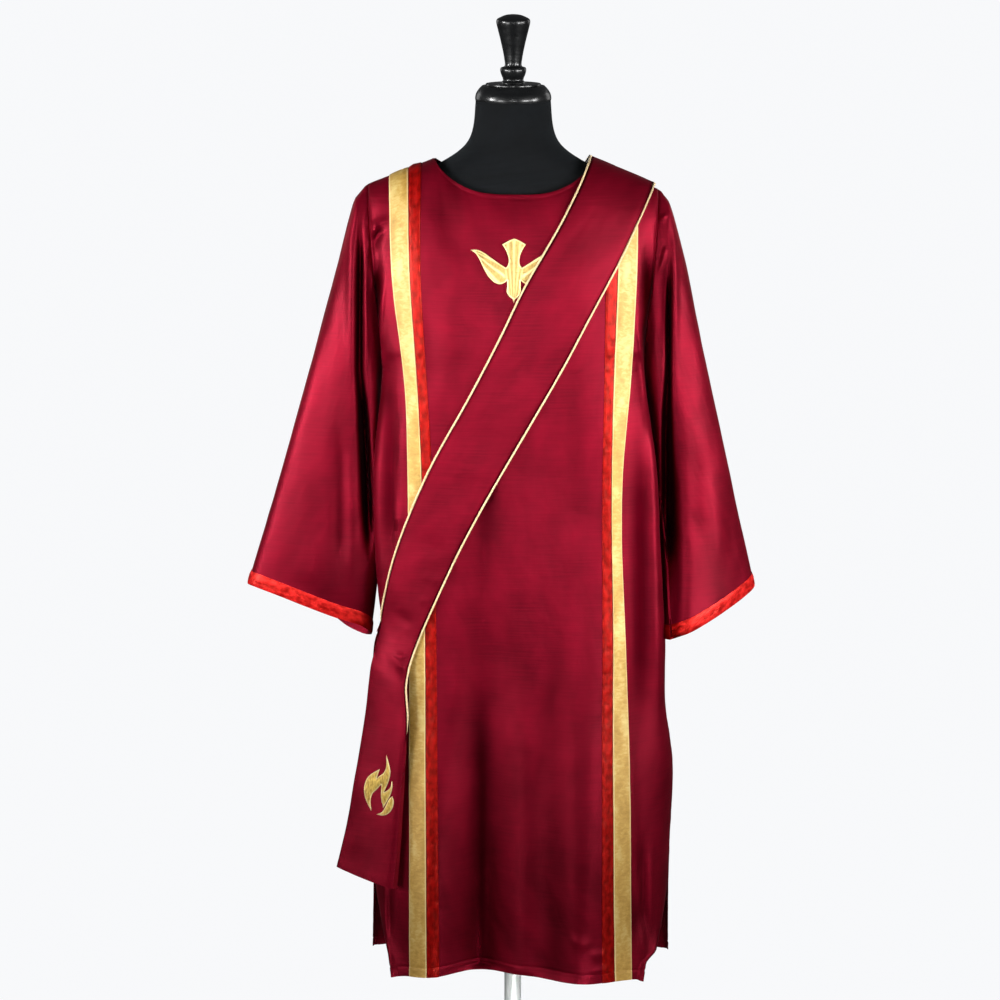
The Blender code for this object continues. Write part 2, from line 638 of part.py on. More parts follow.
def build_stole(face):
    out = -1 if face == "front" else 1
    under = stole_grid(face)
    normals = grid_normals(under, lambda point: Vector((point.x, out * NECK_HALF_WIDTH, 0)))
    normals[0] = [Vector((SHOULDER_SLOPE + SHOULDER_LEAN, 0, 1)).normalized() for _ in normals[0]]
    inner = moved(under, normals, STOLE_LIFT)
    outer = moved(under, normals, STOLE_LIFT + STOLE_WALL)
    split = STOLE_ROWS
    wall("stole_" + face, outer[:split + 1], inner[:split + 1], MAROON)
    for rows in (outer, inner):
        start = [mix(high, low, GAP / (low - high).length) for high, low in zip(rows[split], rows[split + 1])]
        rows[split] = start
    wall("stole_" + face + "_end", outer[split:], inner[split:], MAROON)
    middle = [[mix(a, b, 0.5) for a, b in zip(*pair)] for pair in zip(outer, inner)]
    for label, column, beside in (("neck", 0, 1), ("arm", -1, -2)):
        edge = [row[column] for row in middle[:split + 1]]
        ways = [row[column] for row in normals[:split + 1]]
        path = []
        for index, point in enumerate(edge):
            run = edge[min(index + 1, split)] - edge[max(index - 1, 0)]
            side = run.cross(ways[index]).normalized()
            away = side if side.dot(point - middle[index][beside]) > 0 else -side
            path.append(point + away * (PIPING_RADIUS + PIPING_CLEARANCE))
        path[-1] = mix(path[-2], path[-1], PIPING_END)
        build_piping("piping_" + face + "_" + label, path, ways)
    return outer, normals


def build_piping(name, path, ways):
    """A round cord beside an edge of the stole."""
    rings = []
    for index, point in enumerate(path):
        run = (path[min(index + 1, len(path) - 1)] - path[max(index - 1, 0)]).normalized()
        up = (ways[index] - run * ways[index].dot(run)).normalized()
        side = run.cross(up)
        if index == 0:
            point = Vector((point.x, path[0].y, point.z))
            side, up = flatten_normal(side, 1), flatten_normal(up, 1)
        rings.append([point + (side * math.cos(turn) + up * math.sin(turn)) * PIPING_RADIUS
                      for turn in (math.tau * step / PIPING_SIDES for step in range(PIPING_SIDES))])
    loft_closed(name, rings, GOLD)


def loft_closed(name, rings, material):
    """A solid through rings of the same number of points, closed at both ends."""
    count = len(rings[0])
    vertices = [point for ring in rings for point in ring]
    faces = [(r * count + c, r * count + (c + 1) % count, (r + 1) * count + (c + 1) % count,
              (r + 1) * count + c) for r in range(len(rings) - 1) for c in range(count)]
    faces += [tuple(range(count)), tuple((len(rings) - 1) * count + c for c in range(count))]
    return add_solid(name, vertices, faces, material)


# ---- embroidery -----------------------------------------------------------------------------------

def embroider(name, outline, place, material):
    """A thin patch with the given outline, cut into squares so that it follows the cloth.  The place
    function gives the cloth's point and normal under a point of the outline."""
    flat = bmesh.new()
    flat.faces.new([flat.verts.new((x, 0, z)) for x, z in outline])
    for axis in ((1, 0, 0), (0, 0, 1)):
        reaches = [Vector(axis).dot(vert.co) for vert in flat.verts]
        cut = min(reaches) + PATCH_SPACING
        while cut < max(reaches):
            bmesh.ops.bisect_plane(flat, geom=flat.verts[:] + flat.edges[:] + flat.faces[:],
                                   plane_co=Vector(axis) * cut, plane_no=axis)
            cut += PATCH_SPACING
    bmesh.ops.triangulate(flat, faces=flat.faces[:])
    flat.verts.index_update()
    under, over = [], []
    for vert in flat.verts:
        point, normal = place(vert.co.x, vert.co.z)
        under.append(point + normal * PATCH_LIFT)
        over.append(point + normal * (PATCH_LIFT + TRIM))
    count = len(under)
    faces = []
    for face in flat.faces:
        corners = [vert.index for vert in face.verts]
        faces += [corners, [count + index for index in reversed(corners)]]
    for edge in flat.edges:
        if edge.is_boundary:
            a, b = (vert.index for vert in edge.verts)
            faces.append([a, b, count + b, count + a])
    flat.free()
    return add_solid(name, under + over, faces, material)


def build_dove():
    def on_chest(x, z):
        x += DOVE_AXIS
        step = 0.002
        point = cloth_point("front", x, z)
        across = cloth_point("front", x + step, z) - point
        upward = cloth_point("front", x, z + step) - point
        return point, across.cross(upward).normalized()

    right = [(x, DOVE_MIDDLE + z) for x, z in DOVE_OUTLINE]
    left = [(-x, DOVE_MIDDLE + z) for x, z in reversed(DOVE_OUTLINE) if x > 0]
    embroider("dove", right + left, on_chest, GOLD)


def build_flame(outer, normals):
    """The flame lies on the stole's front end, measured up from its lower edge."""
    end, ways = outer[STOLE_ROWS:], normals[STOLE_ROWS:]
    columns = len(end[0]) - 1
    last = len(end) - 1
    heights = [0.0]
    for r in range(last, 0, -1):
        heights.append(heights[-1] + (end[r - 1][columns // 2] - end[r][columns // 2]).length)

    level = last - sum(value <= FLAME_MIDDLE for value in heights)
    width = (end[level][columns] - end[level][0]).length

    def on_end(x, z):
        across = min(max((FLAME_ACROSS + FLAME_WIDE * x / width) * columns, 0.0), columns - 1e-6)
        column = int(across)
        height = FLAME_MIDDLE + z
        step = max(index for index, value in enumerate(heights[:-1]) if value <= height)
        share = (height - heights[step]) / (heights[step + 1] - heights[step])
        low, high = last - step, last - step - 1

        def blend(rows):
            return mix(mix(rows[low][column], rows[low][column + 1], across - column),
                       mix(rows[high][column], rows[high][column + 1], across - column), share)

        return blend(end), blend(ways).normalized()

    embroider("flame", FLAME_OUTLINE, on_end, GOLD)


# ---- the dress form -------------------------------------------------------------------------------

def build_torso():
    rings = []
    for row in read_table(TORSO_COLUMNS, TORSO):
        ring = []
        for step in range(TORSO_SEGMENTS):
            angle = math.tau * step / TORSO_SEGMENTS
            reach = row["front"] if math.sin(angle) < 0 else row["back"]
            ring.append(Vector((row["half_width"] * math.cos(angle), reach * math.sin(angle), row["height"])))
        rings.append(ring)
    loft_closed("form_torso", rings, BLACK_CLOTH)


def turned(name, bottom, profile, material):
    """A turned solid from a profile of radii and heights over its bottom."""
    rings = [[Vector((radius * math.cos(angle), radius * math.sin(angle), bottom + height))
              for angle in (math.tau * step / TURNED_SEGMENTS for step in range(TURNED_SEGMENTS))]
             for radius, height in profile]
    return loft_closed(name, rings, material)


def build_stand():
    turned("neck_cap", CAP_BOTTOM, CAP_PROFILE, BLACK_GLOSS)
    turned("neck_plate", PLATE_BOTTOM, ((PLATE_RADIUS, 0), (PLATE_RADIUS, PLATE_THICKNESS)), BLACK_GLOSS)
    turned("finial", FINIAL_BOTTOM, FINIAL_PROFILE, BLACK_GLOSS)
    edge = BASE_THICKNESS - BASE_EDGE
    base = ((BASE_RADIUS, 0), (BASE_RADIUS, edge), (BASE_RADIUS - BASE_EDGE, BASE_THICKNESS),
            (BOSS_RADIUS + BASE_EDGE, BASE_THICKNESS), (BOSS_RADIUS, BASE_THICKNESS + BASE_EDGE),
            (BOSS_RADIUS, BOSS_HEIGHT - BASE_EDGE), (BOSS_RADIUS - BASE_EDGE, BOSS_HEIGHT))
    turned("base", 0.0, base, CHROME)
    top = TORSO[0][0] - GAP
    turned("pole", BOSS_HEIGHT + GAP, ((POLE_RADIUS, 0), (POLE_RADIUS, top - BOSS_HEIGHT - GAP)), CHROME)


# ---- materials and the whole ----------------------------------------------------------------------

def make_material(name, colour, roughness, metallic=0.0):
    material = bpy.data.materials.new(name)
    material.use_nodes = True
    surface = material.node_tree.nodes["Principled BSDF"]
    surface.inputs["Base Color"].default_value = (*colour, 1)
    surface.inputs["Roughness"].default_value = roughness
    surface.inputs["Metallic"].default_value = metallic
    return material


for leftover in list(bpy.data.objects):
    bpy.data.objects.remove(leftover, do_unlink=True)

MAROON = make_material("maroon_satin", (0.26, 0.006, 0.026), 0.38)
GOLD = make_material("gold_brocade", (0.72, 0.45, 0.12), 0.35, 0.4)
RED = make_material("red_satin", (0.58, 0.010, 0.012), 0.30)
BLACK_CLOTH = make_material("black_jersey", (0.012, 0.013, 0.017), 0.85)
BLACK_GLOSS = make_material("black_lacquer", (0.006, 0.006, 0.007), 0.12)
CHROME = make_material("chrome", (0.62, 0.64, 0.64), 0.12, 1.0)

PLACE = bpy.data.objects.new("dalmatic", None)
bpy.context.collection.objects.link(PLACE)

build_body()
for sleeve_side, way_out in (("left", -1), ("right", 1)):
    build_sleeve(sleeve_side, way_out)
front_stole, front_normals = build_stole("front")
build_stole("back")
build_dove()
build_flame(front_stole, front_normals)
build_torso()
build_stand()
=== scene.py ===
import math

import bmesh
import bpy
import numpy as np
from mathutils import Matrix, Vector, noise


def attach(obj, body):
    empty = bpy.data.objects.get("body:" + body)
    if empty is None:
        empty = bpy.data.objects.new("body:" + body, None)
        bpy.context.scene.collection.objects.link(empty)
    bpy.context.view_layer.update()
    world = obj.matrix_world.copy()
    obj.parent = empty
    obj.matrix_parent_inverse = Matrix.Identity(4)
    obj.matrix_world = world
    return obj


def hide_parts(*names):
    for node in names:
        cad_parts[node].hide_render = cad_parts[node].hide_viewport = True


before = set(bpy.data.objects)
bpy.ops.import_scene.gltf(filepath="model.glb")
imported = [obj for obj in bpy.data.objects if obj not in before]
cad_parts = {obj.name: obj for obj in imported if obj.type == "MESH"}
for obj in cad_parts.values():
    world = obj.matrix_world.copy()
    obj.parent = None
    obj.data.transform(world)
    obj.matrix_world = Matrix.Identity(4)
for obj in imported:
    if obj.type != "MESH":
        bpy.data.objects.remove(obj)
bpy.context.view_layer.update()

# The looks of a worn dalmatic with its matching stole, on a limbless dress form.
#
# The cloth is lofted through the same tables as the solids in the frame, at a finer pitch, with its
# creases, hems, seams and puckers laid on.  Metres, +Z up, the front faces -Y and left is -X.  Every
# cloth piece is a thin closed wall whose UV map is in metres, so that the weaves keep their scale.

# ---- sizes that the frame has too ----

CLOTH = 0.0015
TRIM = 0.0010
STOLE_WALL = 0.0020
GAP = 0.0003
FACE_WAY = {"front": -1, "back": 1}       # along Y
SIDE_WAY = {"left": -1, "right": 1}       # along X

NECK_HALF_WIDTH = 0.120
NECK_REACH = {"front": 0.0812, "back": 0.067}
NECK_POINT = 1.4840
SHOULDER_SLOPE = 0.405
SHOULDER_LEAN = 0.018
SHOULDER_TIP = 1.4450
UNDERARM = 1.170
ARMHOLE_DEPTH = 0.042
CORNER = 2.6                  # 2 would make the sections elliptical, and more makes them squarer
ROLL = 2.4                    # the same, for the roll from the chest over the shoulders
EDGE_REACH = 6                # how closely the armhole's and slit's opening keeps to the sides
UNDERARM_REACH = 20           # how much closer the armhole's keeps to them where it starts
UNDERARM_BLEND = 0.10         # share of the armhole's height over which that fades

HEM = 0.222
HEM_CORNER_DROP = 0.012
HEM_LEAN = 0.003              # how far the hem drops on the right and rises on the left
SLIT_TOP = 0.400
SLIT_CURVE = 1.25
SLIT_SPREAD = {"front": 0.085, "back": 0.070}
SLIT_TUCK = {"front": (0.034, 0.033), "back": (0.0, 0.0)}
PINCH_SPAN = 2.5              # how closely the drawing-in keeps to the very side

STOLE_LIFT = 0.0050
STOLE_TOUCH = 0.0060
STOLE_BOW = 0.006
PIPING_RADIUS = 0.0015
PIPING_CLEARANCE = 0.0002

SECTION_COLUMNS = ("height", "left", "right", "front", "back", "pinch_left", "pinch_right")
SECTIONS = (
    (0.21, -0.2245, 0.2495, 0.118, 0.112, 0, 0),
    (0.4, -0.219, 0.2465, 0.112, 0.108, 0, 0),
    (0.55, -0.211, 0.2505, 0.106, 0.103, 0, 0),
    (0.65, -0.206, 0.247, 0.102, 0.099, 0, 0.012),
    (0.75, -0.211, 0.258, 0.1, 0.097, 0.01, 0.035),
    (0.83, -0.231, 0.2619, 0.1, 0.096, 0.038, 0.056),
    (0.91, -0.2407, 0.2579, 0.102, 0.096, 0.05, 0.06),
    (1.02, -0.241, 0.2471, 0.106, 0.097, 0.05, 0.05),
    (1.17, -0.211, 0.2085, 0.113, 0.1, 0.014, 0.012),
    (1.3, -0.212, 0.212, 0.116, 0.103, 0, 0),
    (1.46, -0.2225, 0.2225, 0.116, 0.103, 0, 0),
)

BAND_COLUMNS = ("height", "left", "right", "gold_left", "red_left", "gold_right", "red_right")
BANDS = (
    (0.21, -0.162, 0.1858, 0.028, 0.0196, 0.028, 0.02),
    (0.55, -0.1612, 0.1808, 0.0262, 0.0187, 0.027, 0.0172),
    (0.8, -0.1605, 0.171, 0.025, 0.0175, 0.0184, 0.0162),
    (0.92, -0.1608, 0.1663, 0.0235, 0.0165, 0.016, 0.0148),
    (1.02, -0.1618, 0.168, 0.022, 0.016, 0.018, 0.0143),
    (1.15, -0.1652, 0.1785, 0.02, 0.015, 0.0265, 0.0145),
    (1.3, -0.1838, 0.1872, 0.028, 0.0165, 0.0295, 0.0184),
    (1.46, -0.1896, 0.19, 0.03, 0.02, 0.029, 0.02),
)

FOLDS = {                     # across, lean, width, depth, top, full
    "front": (
        (-0.05, 0.02, 0.05, -0.04, 1, 0.26),
        (0.112, 0.01, 0.06, 0.034, 1.05, 0.3),
        (-0.135, 0.01, 0.035, 0.016, 0.7, 0.26),
        (0.035, 0, 0.03, -0.006, 0.8, 0.35),
    ),
    "back": (
        (0.085, 0.015, 0.05, -0.03, 1.05, 0.3),
        (-0.02, -0.01, 0.045, 0.026, 0.98, 0.28),
        (-0.12, 0.012, 0.045, -0.024, 0.9, 0.3),
        (0.16, 0, 0.04, 0.018, 0.8, 0.3),
    ),
}

SLEEVE_COLUMNS = ("outer_x", "outer_z", "inner_x", "inner_z", "turn", "front", "back")
SLEEVES = {
    "left": (
        (0.24, 1.425, 0.2035, 1.135, 0, 0.05, 0.048),
        (0.251, 1.392, 0.204, 1.095, 0, 0.055, 0.052),
        (0.265, 1.34, 0.2035, 1.05, 0, 0.055, 0.052),
        (0.284, 1.27, 0.2025, 1, 0, 0.052, 0.05),
        (0.3065, 1.187, 0.203, 0.945, 0, 0.049, 0.047),
        (0.334, 1.09, 0.205, 0.89, 0, 0.046, 0.044),
        (0.3635, 0.985, 0.2085, 0.84, 0, 0.044, 0.041),
        (0.389, 0.9, 0.215, 0.787, 0, 0.042, 0.039),
        (0.4057, 0.8445, 0.2178, 0.7637, 0, 0.039, 0.037),
        (0.4118, 0.824, 0.2205, 0.742, 0, 0.038, 0.036),
    ),
    "right": (
        (0.237, 1.42, 0.2035, 1.135, 4, 0.05, 0.048),
        (0.247, 1.385, 0.207, 1.095, 10, 0.055, 0.052),
        (0.259, 1.33, 0.212, 1.05, 16, 0.055, 0.052),
        (0.271, 1.26, 0.218, 1, 22, 0.052, 0.05),
        (0.288, 1.177, 0.225, 0.945, 27, 0.048, 0.047),
        (0.309, 1.08, 0.231, 0.89, 32, 0.044, 0.044),
        (0.3325, 0.975, 0.2345, 0.84, 36, 0.04, 0.041),
        (0.354, 0.885, 0.237, 0.79, 40, 0.036, 0.039),
        (0.3661, 0.833, 0.239, 0.769, 41.5, 0.034, 0.037),
        (0.371, 0.812, 0.24, 0.7465, 42, 0.033, 0.036),
    ),
}

# How the cuff's rim departs from a plane, by the turn in degrees from the underarm over the front.
CUFF_RIMS = {
    "left": ((0, 0), (20, 0.0095), (38, 0.013), (68, 0.0105), (90, 0.0094), (119, 0.0075),
             (147, 0.0043), (180, 0), (225, 0), (270, -0.0005), (292, -0.004), (306, -0.01),
             (326, -0.01), (343, -0.006), (360, 0)),
    "right": ((0, 0), (30, 0.003), (66, 0.004), (110, 0.003), (180, 0), (270, 0),
              (300, -0.003), (330, -0.003), (360, 0)),
}
CUFF_RIM_ROWS = 3.5           # how many rows before the rim its shape begins
SLEEVE_FLATNESS = 0.62        # 1 for a sleeve that is round as seen along it

STOLE_COLUMNS = ("neck_x", "neck_z", "arm_x", "arm_z", "neck_y", "arm_y", "free")
STOLE_ACROSS = (
    (0.118, 1.485, 0.213, 1.448, 0, 0, 0),
    (0.095, 1.437, 0.186, 1.395, 0, 0, 0),
    (0.0653, 1.382, 0.159, 1.341, 0, 0, 0),
    (0.0197, 1.304, 0.1155, 1.261, 0, 0, 0),
    (-0.0194, 1.2235, 0.0715, 1.177, 0, 0, 0),
    (-0.0666, 1.131, 0.0185, 1.083, 0, 0, 0),
    (-0.119, 1.034, -0.037, 0.985, 0.1, 0.105, 0),
    (-0.1562, 0.9487, -0.083, 0.897, 0.09, 0.1, 0),
    (-0.182, 0.872, -0.1175, 0.82, 0.078, 0.095, 0),
    (-0.1955, 0.809, -0.1405, 0.764, 0.068, 0.092, 0),
    (-0.2035, 0.753, -0.1605, 0.71, 0.06, 0.09, 0.6),
)
STOLE_ENDS = {
    "front": (
        (-0.215, 0.7085, -0.1655, 0.68, 0.058, 0.092, 1),
        (-0.2255, 0.6275, -0.1625, 0.618, 0.06, 0.097, 1),
        (-0.2415, 0.5315, -0.169, 0.518, 0.062, 0.1, 1),
        (-0.2545, 0.4575, -0.1745, 0.432, 0.064, 0.101, 1),
        (-0.2721, 0.3856, -0.1805, 0.359, 0.066, 0.102, 1),
    ),
    "back": (
        (-0.214, 0.713, -0.1665, 0.68, 0.058, 0.091, 1),
        (-0.219, 0.635, -0.1655, 0.615, 0.06, 0.098, 1),
        (-0.226, 0.537, -0.164, 0.52, 0.062, 0.105, 1),
        (-0.233, 0.456, -0.164, 0.44, 0.064, 0.111, 1),
        (-0.24, 0.383, -0.164, 0.365, 0.066, 0.117, 1),
    ),
}

TORSO_COLUMNS = ("height", "half_width", "front", "back")
TORSO = (
    (0.74, 0.148, 0.086, 0.082),
    (0.8, 0.155, 0.09, 0.086),
    (0.9, 0.152, 0.088, 0.084),
    (1, 0.142, 0.084, 0.08),
    (1.08, 0.14, 0.084, 0.08),
    (1.17, 0.152, 0.092, 0.084),
    (1.26, 0.17, 0.098, 0.088),
    (1.34, 0.188, 0.092, 0.084),
    (1.4, 0.199, 0.08, 0.074),
    (1.435, 0.196, 0.07, 0.066),
    (1.449, 0.178, 0.066, 0.062),
    (1.461, 0.15, 0.063, 0.059),
    (1.475, 0.119, 0.06, 0.057),
    (1.495, 0.0857, 0.058, 0.055),
    (1.512, 0.069, 0.057, 0.054),
    (1.535, 0.0608, 0.056, 0.054),
    (1.5735, 0.0572, 0.0572, 0.0572),
)
CAP_PROFILE = ((0.0575, 0.0000), (0.0580, 0.0040), (0.0565, 0.0110), (0.0520, 0.0180), (0.0475, 0.0225))
PLATE_RADIUS = 0.042
PLATE_THICKNESS = 0.0030
PLATE_FLAT = 0.001            # how far in from its edge its profile begins, underneath
PLATE_TOP_RADIUS = 0.020      # where its profile ends, on top
FINIAL_PROFILE = (
    (0.018, 0), (0.0176, 0.002), (0.0156, 0.0045), (0.0161, 0.008), (0.0184, 0.0135),
    (0.0198, 0.0195), (0.019, 0.0235), (0.0132, 0.0262), (0.0138, 0.038), (0.0182, 0.06),
    (0.0238, 0.083), (0.0258, 0.092), (0.025, 0.0965), (0.0205, 0.0995), (0.012, 0.103),
    (0.004, 0.1042),
)
POLE_RADIUS = 0.0131
BASE_RADIUS = 0.170
BASE_THICKNESS = 0.007
BASE_EDGE = 0.002
BOSS_RADIUS = 0.024
BOSS_HEIGHT = 0.030

DOVE_AXIS = 0.0010
DOVE_MIDDLE = 1.3270
PATCH_LIFT = 0.0018
FLAME_ACROSS = 0.54
FLAME_MIDDLE = 0.154
FLAME_WIDE = 1.02

# Outlines of the motifs: places from the motif's middle, with x to the right and z up.  A point that is
# a corner has a 1 after it, and the outline is a smooth curve between corners.
DOVE_HALF = (
    (0, 0.048, 1), (0.009, 0.0442, 0), (0.0178, 0.0392, 1), (0.0118, 0.029, 0), (0.0082, 0.018, 0),
    (0.0086, 0.01, 0), (0.012, 0.0045, 1), (0.023, 0.0115, 0), (0.035, 0.0195, 0), (0.047, 0.0268, 0),
    (0.056, 0.0292, 0), (0.065, 0.028, 1), (0.058, 0.024, 0), (0.052, 0.016, 0), (0.0455, 0.003, 0),
    (0.0385, -0.0085, 0), (0.03, -0.017, 0), (0.0215, -0.02, 0), (0.0145, -0.018, 0),
    (0.0102, -0.0146, 1), (0.0102, -0.024, 0), (0.0107, -0.031, 0), (0.007, -0.0382, 0),
    (0.0018, -0.0425, 1), (0, -0.0485, 1),
)
WING_TIP = (0.0680, 0.0310)
FLAME_TONGUES = (
    (  # the tall tongue, with the left one and the right one
        (0.0045, 0.048, 1), (0.0092, 0.0385, 0), (0.014, 0.0255, 0), (0.0144, 0.017, 0),
        (0.0122, 0.0055, 0), (0.0066, -0.0108, 1), (0.0122, -0.0058, 0), (0.0165, -0.0002, 0),
        (0.0186, 0.0108, 1), (0.0202, 0.003, 0),
        (0.0186, -0.0095, 0), (0.014, -0.021, 0), (0.0078, -0.0352, 1), (0.007, -0.03, 0),
        (0.0046, -0.0258, 1), (0.0026, -0.0165, 0), (0.0012, 0.0006, 1), (-0.0055, -0.0095, 0),
        (-0.0108, -0.0175, 0), (-0.0125, -0.029, 0), (-0.0098, -0.045, 1), (-0.016, -0.0365, 0),
        (-0.0215, -0.026, 0), (-0.0243, -0.0115, 0), (-0.0222, 0.003, 0), (-0.016, 0.013, 0),
        (-0.0045, 0.0232, 1), (-0.0062, 0.015, 0), (-0.0078, 0.0076, 1), (-0.0025, 0.0135, 0),
        (0.0028, 0.019, 0), (0.0062, 0.029, 0),
    ),
    (  # the crescent at its lower right
        (0.0214, -0.012, 1), (0.0243, -0.02, 0), (0.0222, -0.032, 0), (0.016, -0.0412, 0),
        (0.0085, -0.046, 0), (-0.0016, -0.0478, 1), (0.0058, -0.0422, 0), (0.0096, -0.0355, 0),
        (0.013, -0.0268, 0), (0.0168, -0.0175, 0),
    ),
)

# ---- creases ----
# Each row is x0, z0, x1, z1, bend, width and height in millimetres, and then widen, rise and fall.  The
# crease runs from one place to another as seen from the front, bowed sideways by its bend.  It is `width`
# to either side at its start and `widen` times that at its end.  Ridges have a height above zero and
# troughs below it.  It fades in over its `rise` and out over its `fall`, as shares of it.

BODY_CREASES = {
    "front": (
        # pinch folds where the left sleeve pulls at the armhole
        (-185, 1402, -223, 1360, 8, 5.5, 7, 1, 0.5, 0.3),
        (-195, 1388, -213, 1340, 6, 7, -7, 1.2, 0.3, 0.4),
        (-221, 1374, -213, 1305, -2, 4.5, 6, 0.8, 0.2, 0.45),
        # the black valley beside the left band, and the ridge between them
        (-204, 1365, -220, 1090, 1, 8, -19, 1, 0.4, 0.2),
        (-195, 1315, -210, 1100, 1, 2.8, 5.5, 1.2, 0.25, 0.4),
        # the strip beside the left band: a trough and the bright ridge at its other side
        (-190, 1220, -188, 800, 0, 16.5, -8, 1.1, 0.35, 0.4),
        (-169, 1120, -181.5, 850, -2, 3.5, 4.8, 1.2, 0.35, 0.3),
        # the right armhole
        (203, 1405, 213, 1150, 0, 10.5, -14, 1, 0.55, 0.25),
        (199, 1260, 217, 1090, 0, 6, -11, 1.2, 0.35, 0.35),
        (188, 1255, 211, 1075, 2, 3, 5, 1.2, 0.25, 0.4),
        (214, 1395, 223, 1405, 0, 3, 3, 1, 0.4, 0.3),
        # the body's right side: a soft trough beside the band and a ridge at its edge
        (194, 1170, 201, 500, 3, 17, -8.8, 1, 0.35, 0.4),
        (211, 1140, 229, 550, 0, 6, 4.5, 1.2, 0.2, 0.4),
        (179, 640, 208, 215, 4, 4.5, 3.8, 1.2, 0.35, 0.15),
        (196, 460, 202, 260, 0, 9, -7, 1.3, 0.4, 0.3),
        (217, 450, 216, 270, 3, 6, 4, 1.2, 0.4, 0.3),
        # the left corner of the front, under the stole's end
        (-178, 420, -189, 275, 2, 4, 4, 1.2, 0.3, 0.3),
        (-187, 390, -193, 270, 0, 5, -4.5, 1.2, 0.3, 0.3),
        (-202, 370, -197, 260, 0, 3.5, 3, 1, 0.3, 0.3),
        # what shows of the pocket of shade under the stole, and the long trough down from it
        (-40, 1040, -46, 780, 0, 15, -6.2, 1.9, 0.3, 0.75),
        (-50, 940, -49, 600, 0, 20, -2, 1.3, 0.4, 0.4),
        (-49, 740, -48, 220, 0, 22, -7.5, 1.3, 0.4, 0.02),
        (75, 900, 65, 220, 5, 30, -4.5, 1.2, 0.4, 0.02),
        (10, 700, 12, 220, -4, 20, 3, 1.2, 0.4, 0.02),
        # small creases over the hem
        (115, 268, 150, 260, 2, 6, 3, 1, 0.4, 0.3),
        (118, 240, 152, 237, 1, 4.5, 2.2, 1, 0.4, 0.2),
        (85, 295, 125, 278, 3, 8, 2.4, 1, 0.4, 0.4),
        # drag lines from the neck and over the chest
        (-112, 1450, -50, 1310, 10, 16, -2.2, 1.6, 0.3, 0.5),
        (-30, 1430, -15, 1250, 6, 18, 1.6, 1.4, 0.3, 0.5),
        (-90, 1370, -95, 1170, -6, 15, 1.8, 1.4, 0.4, 0.4),
        (-130, 1300, -115, 1110, 5, 13, -2, 1.3, 0.4, 0.4),
        (90, 1140, 110, 860, 6, 20, -2.6, 1.4, 0.4, 0.4),
    ),
    "back": (
        (-201, 1400, -214, 1330, 4, 5, 4, 1.2, 0.4, 0.4),
        (-206, 1350, -198, 1170, 3, 6, -11, 1.6, 0.25, 0.5),
        (-190, 1290, -196, 1090, 0, 5.5, 3.8, 1.2, 0.3, 0.4),
        (196, 1402, 213, 1340, -3, 5, 4.2, 1.1, 0.4, 0.4),
        (203, 1340, 199, 1160, -2, 6, -12, 1.5, 0.25, 0.5),
        (188, 1300, 195, 1120, 2, 5, 3.5, 1.2, 0.3, 0.4),
        (80, 1360, 55, 1100, 10, 20, -3, 1.5, 0.4, 0.4),
        (-70, 1340, -50, 1050, -12, 22, 2.6, 1.4, 0.4, 0.4),
        (15, 1390, 25, 1200, 6, 16, -2, 1.4, 0.3, 0.5),
        (-110, 1240, -130, 980, 6, 15, -2.8, 1.3, 0.4, 0.4),
        (55, 980, 82, 220, 5, 18, -6, 1.5, 0.3, 0.02),
        (-45, 930, -25, 220, -4, 17, 5.2, 1.4, 0.3, 0.02),
        (-105, 840, -125, 220, 5, 15, -5.5, 1.4, 0.3, 0.02),
        (135, 880, 150, 220, -5, 14, 4.5, 1.4, 0.3, 0.02),
        (-175, 700, -185, 230, 3, 8, 3.6, 1.3, 0.3, 0.15),
        (205, 760, 212, 250, 0, 9, -5, 1.3, 0.3, 0.25),
        (-30, 270, 15, 262, 2, 6, 2.6, 1, 0.4, 0.3),
    ),
}
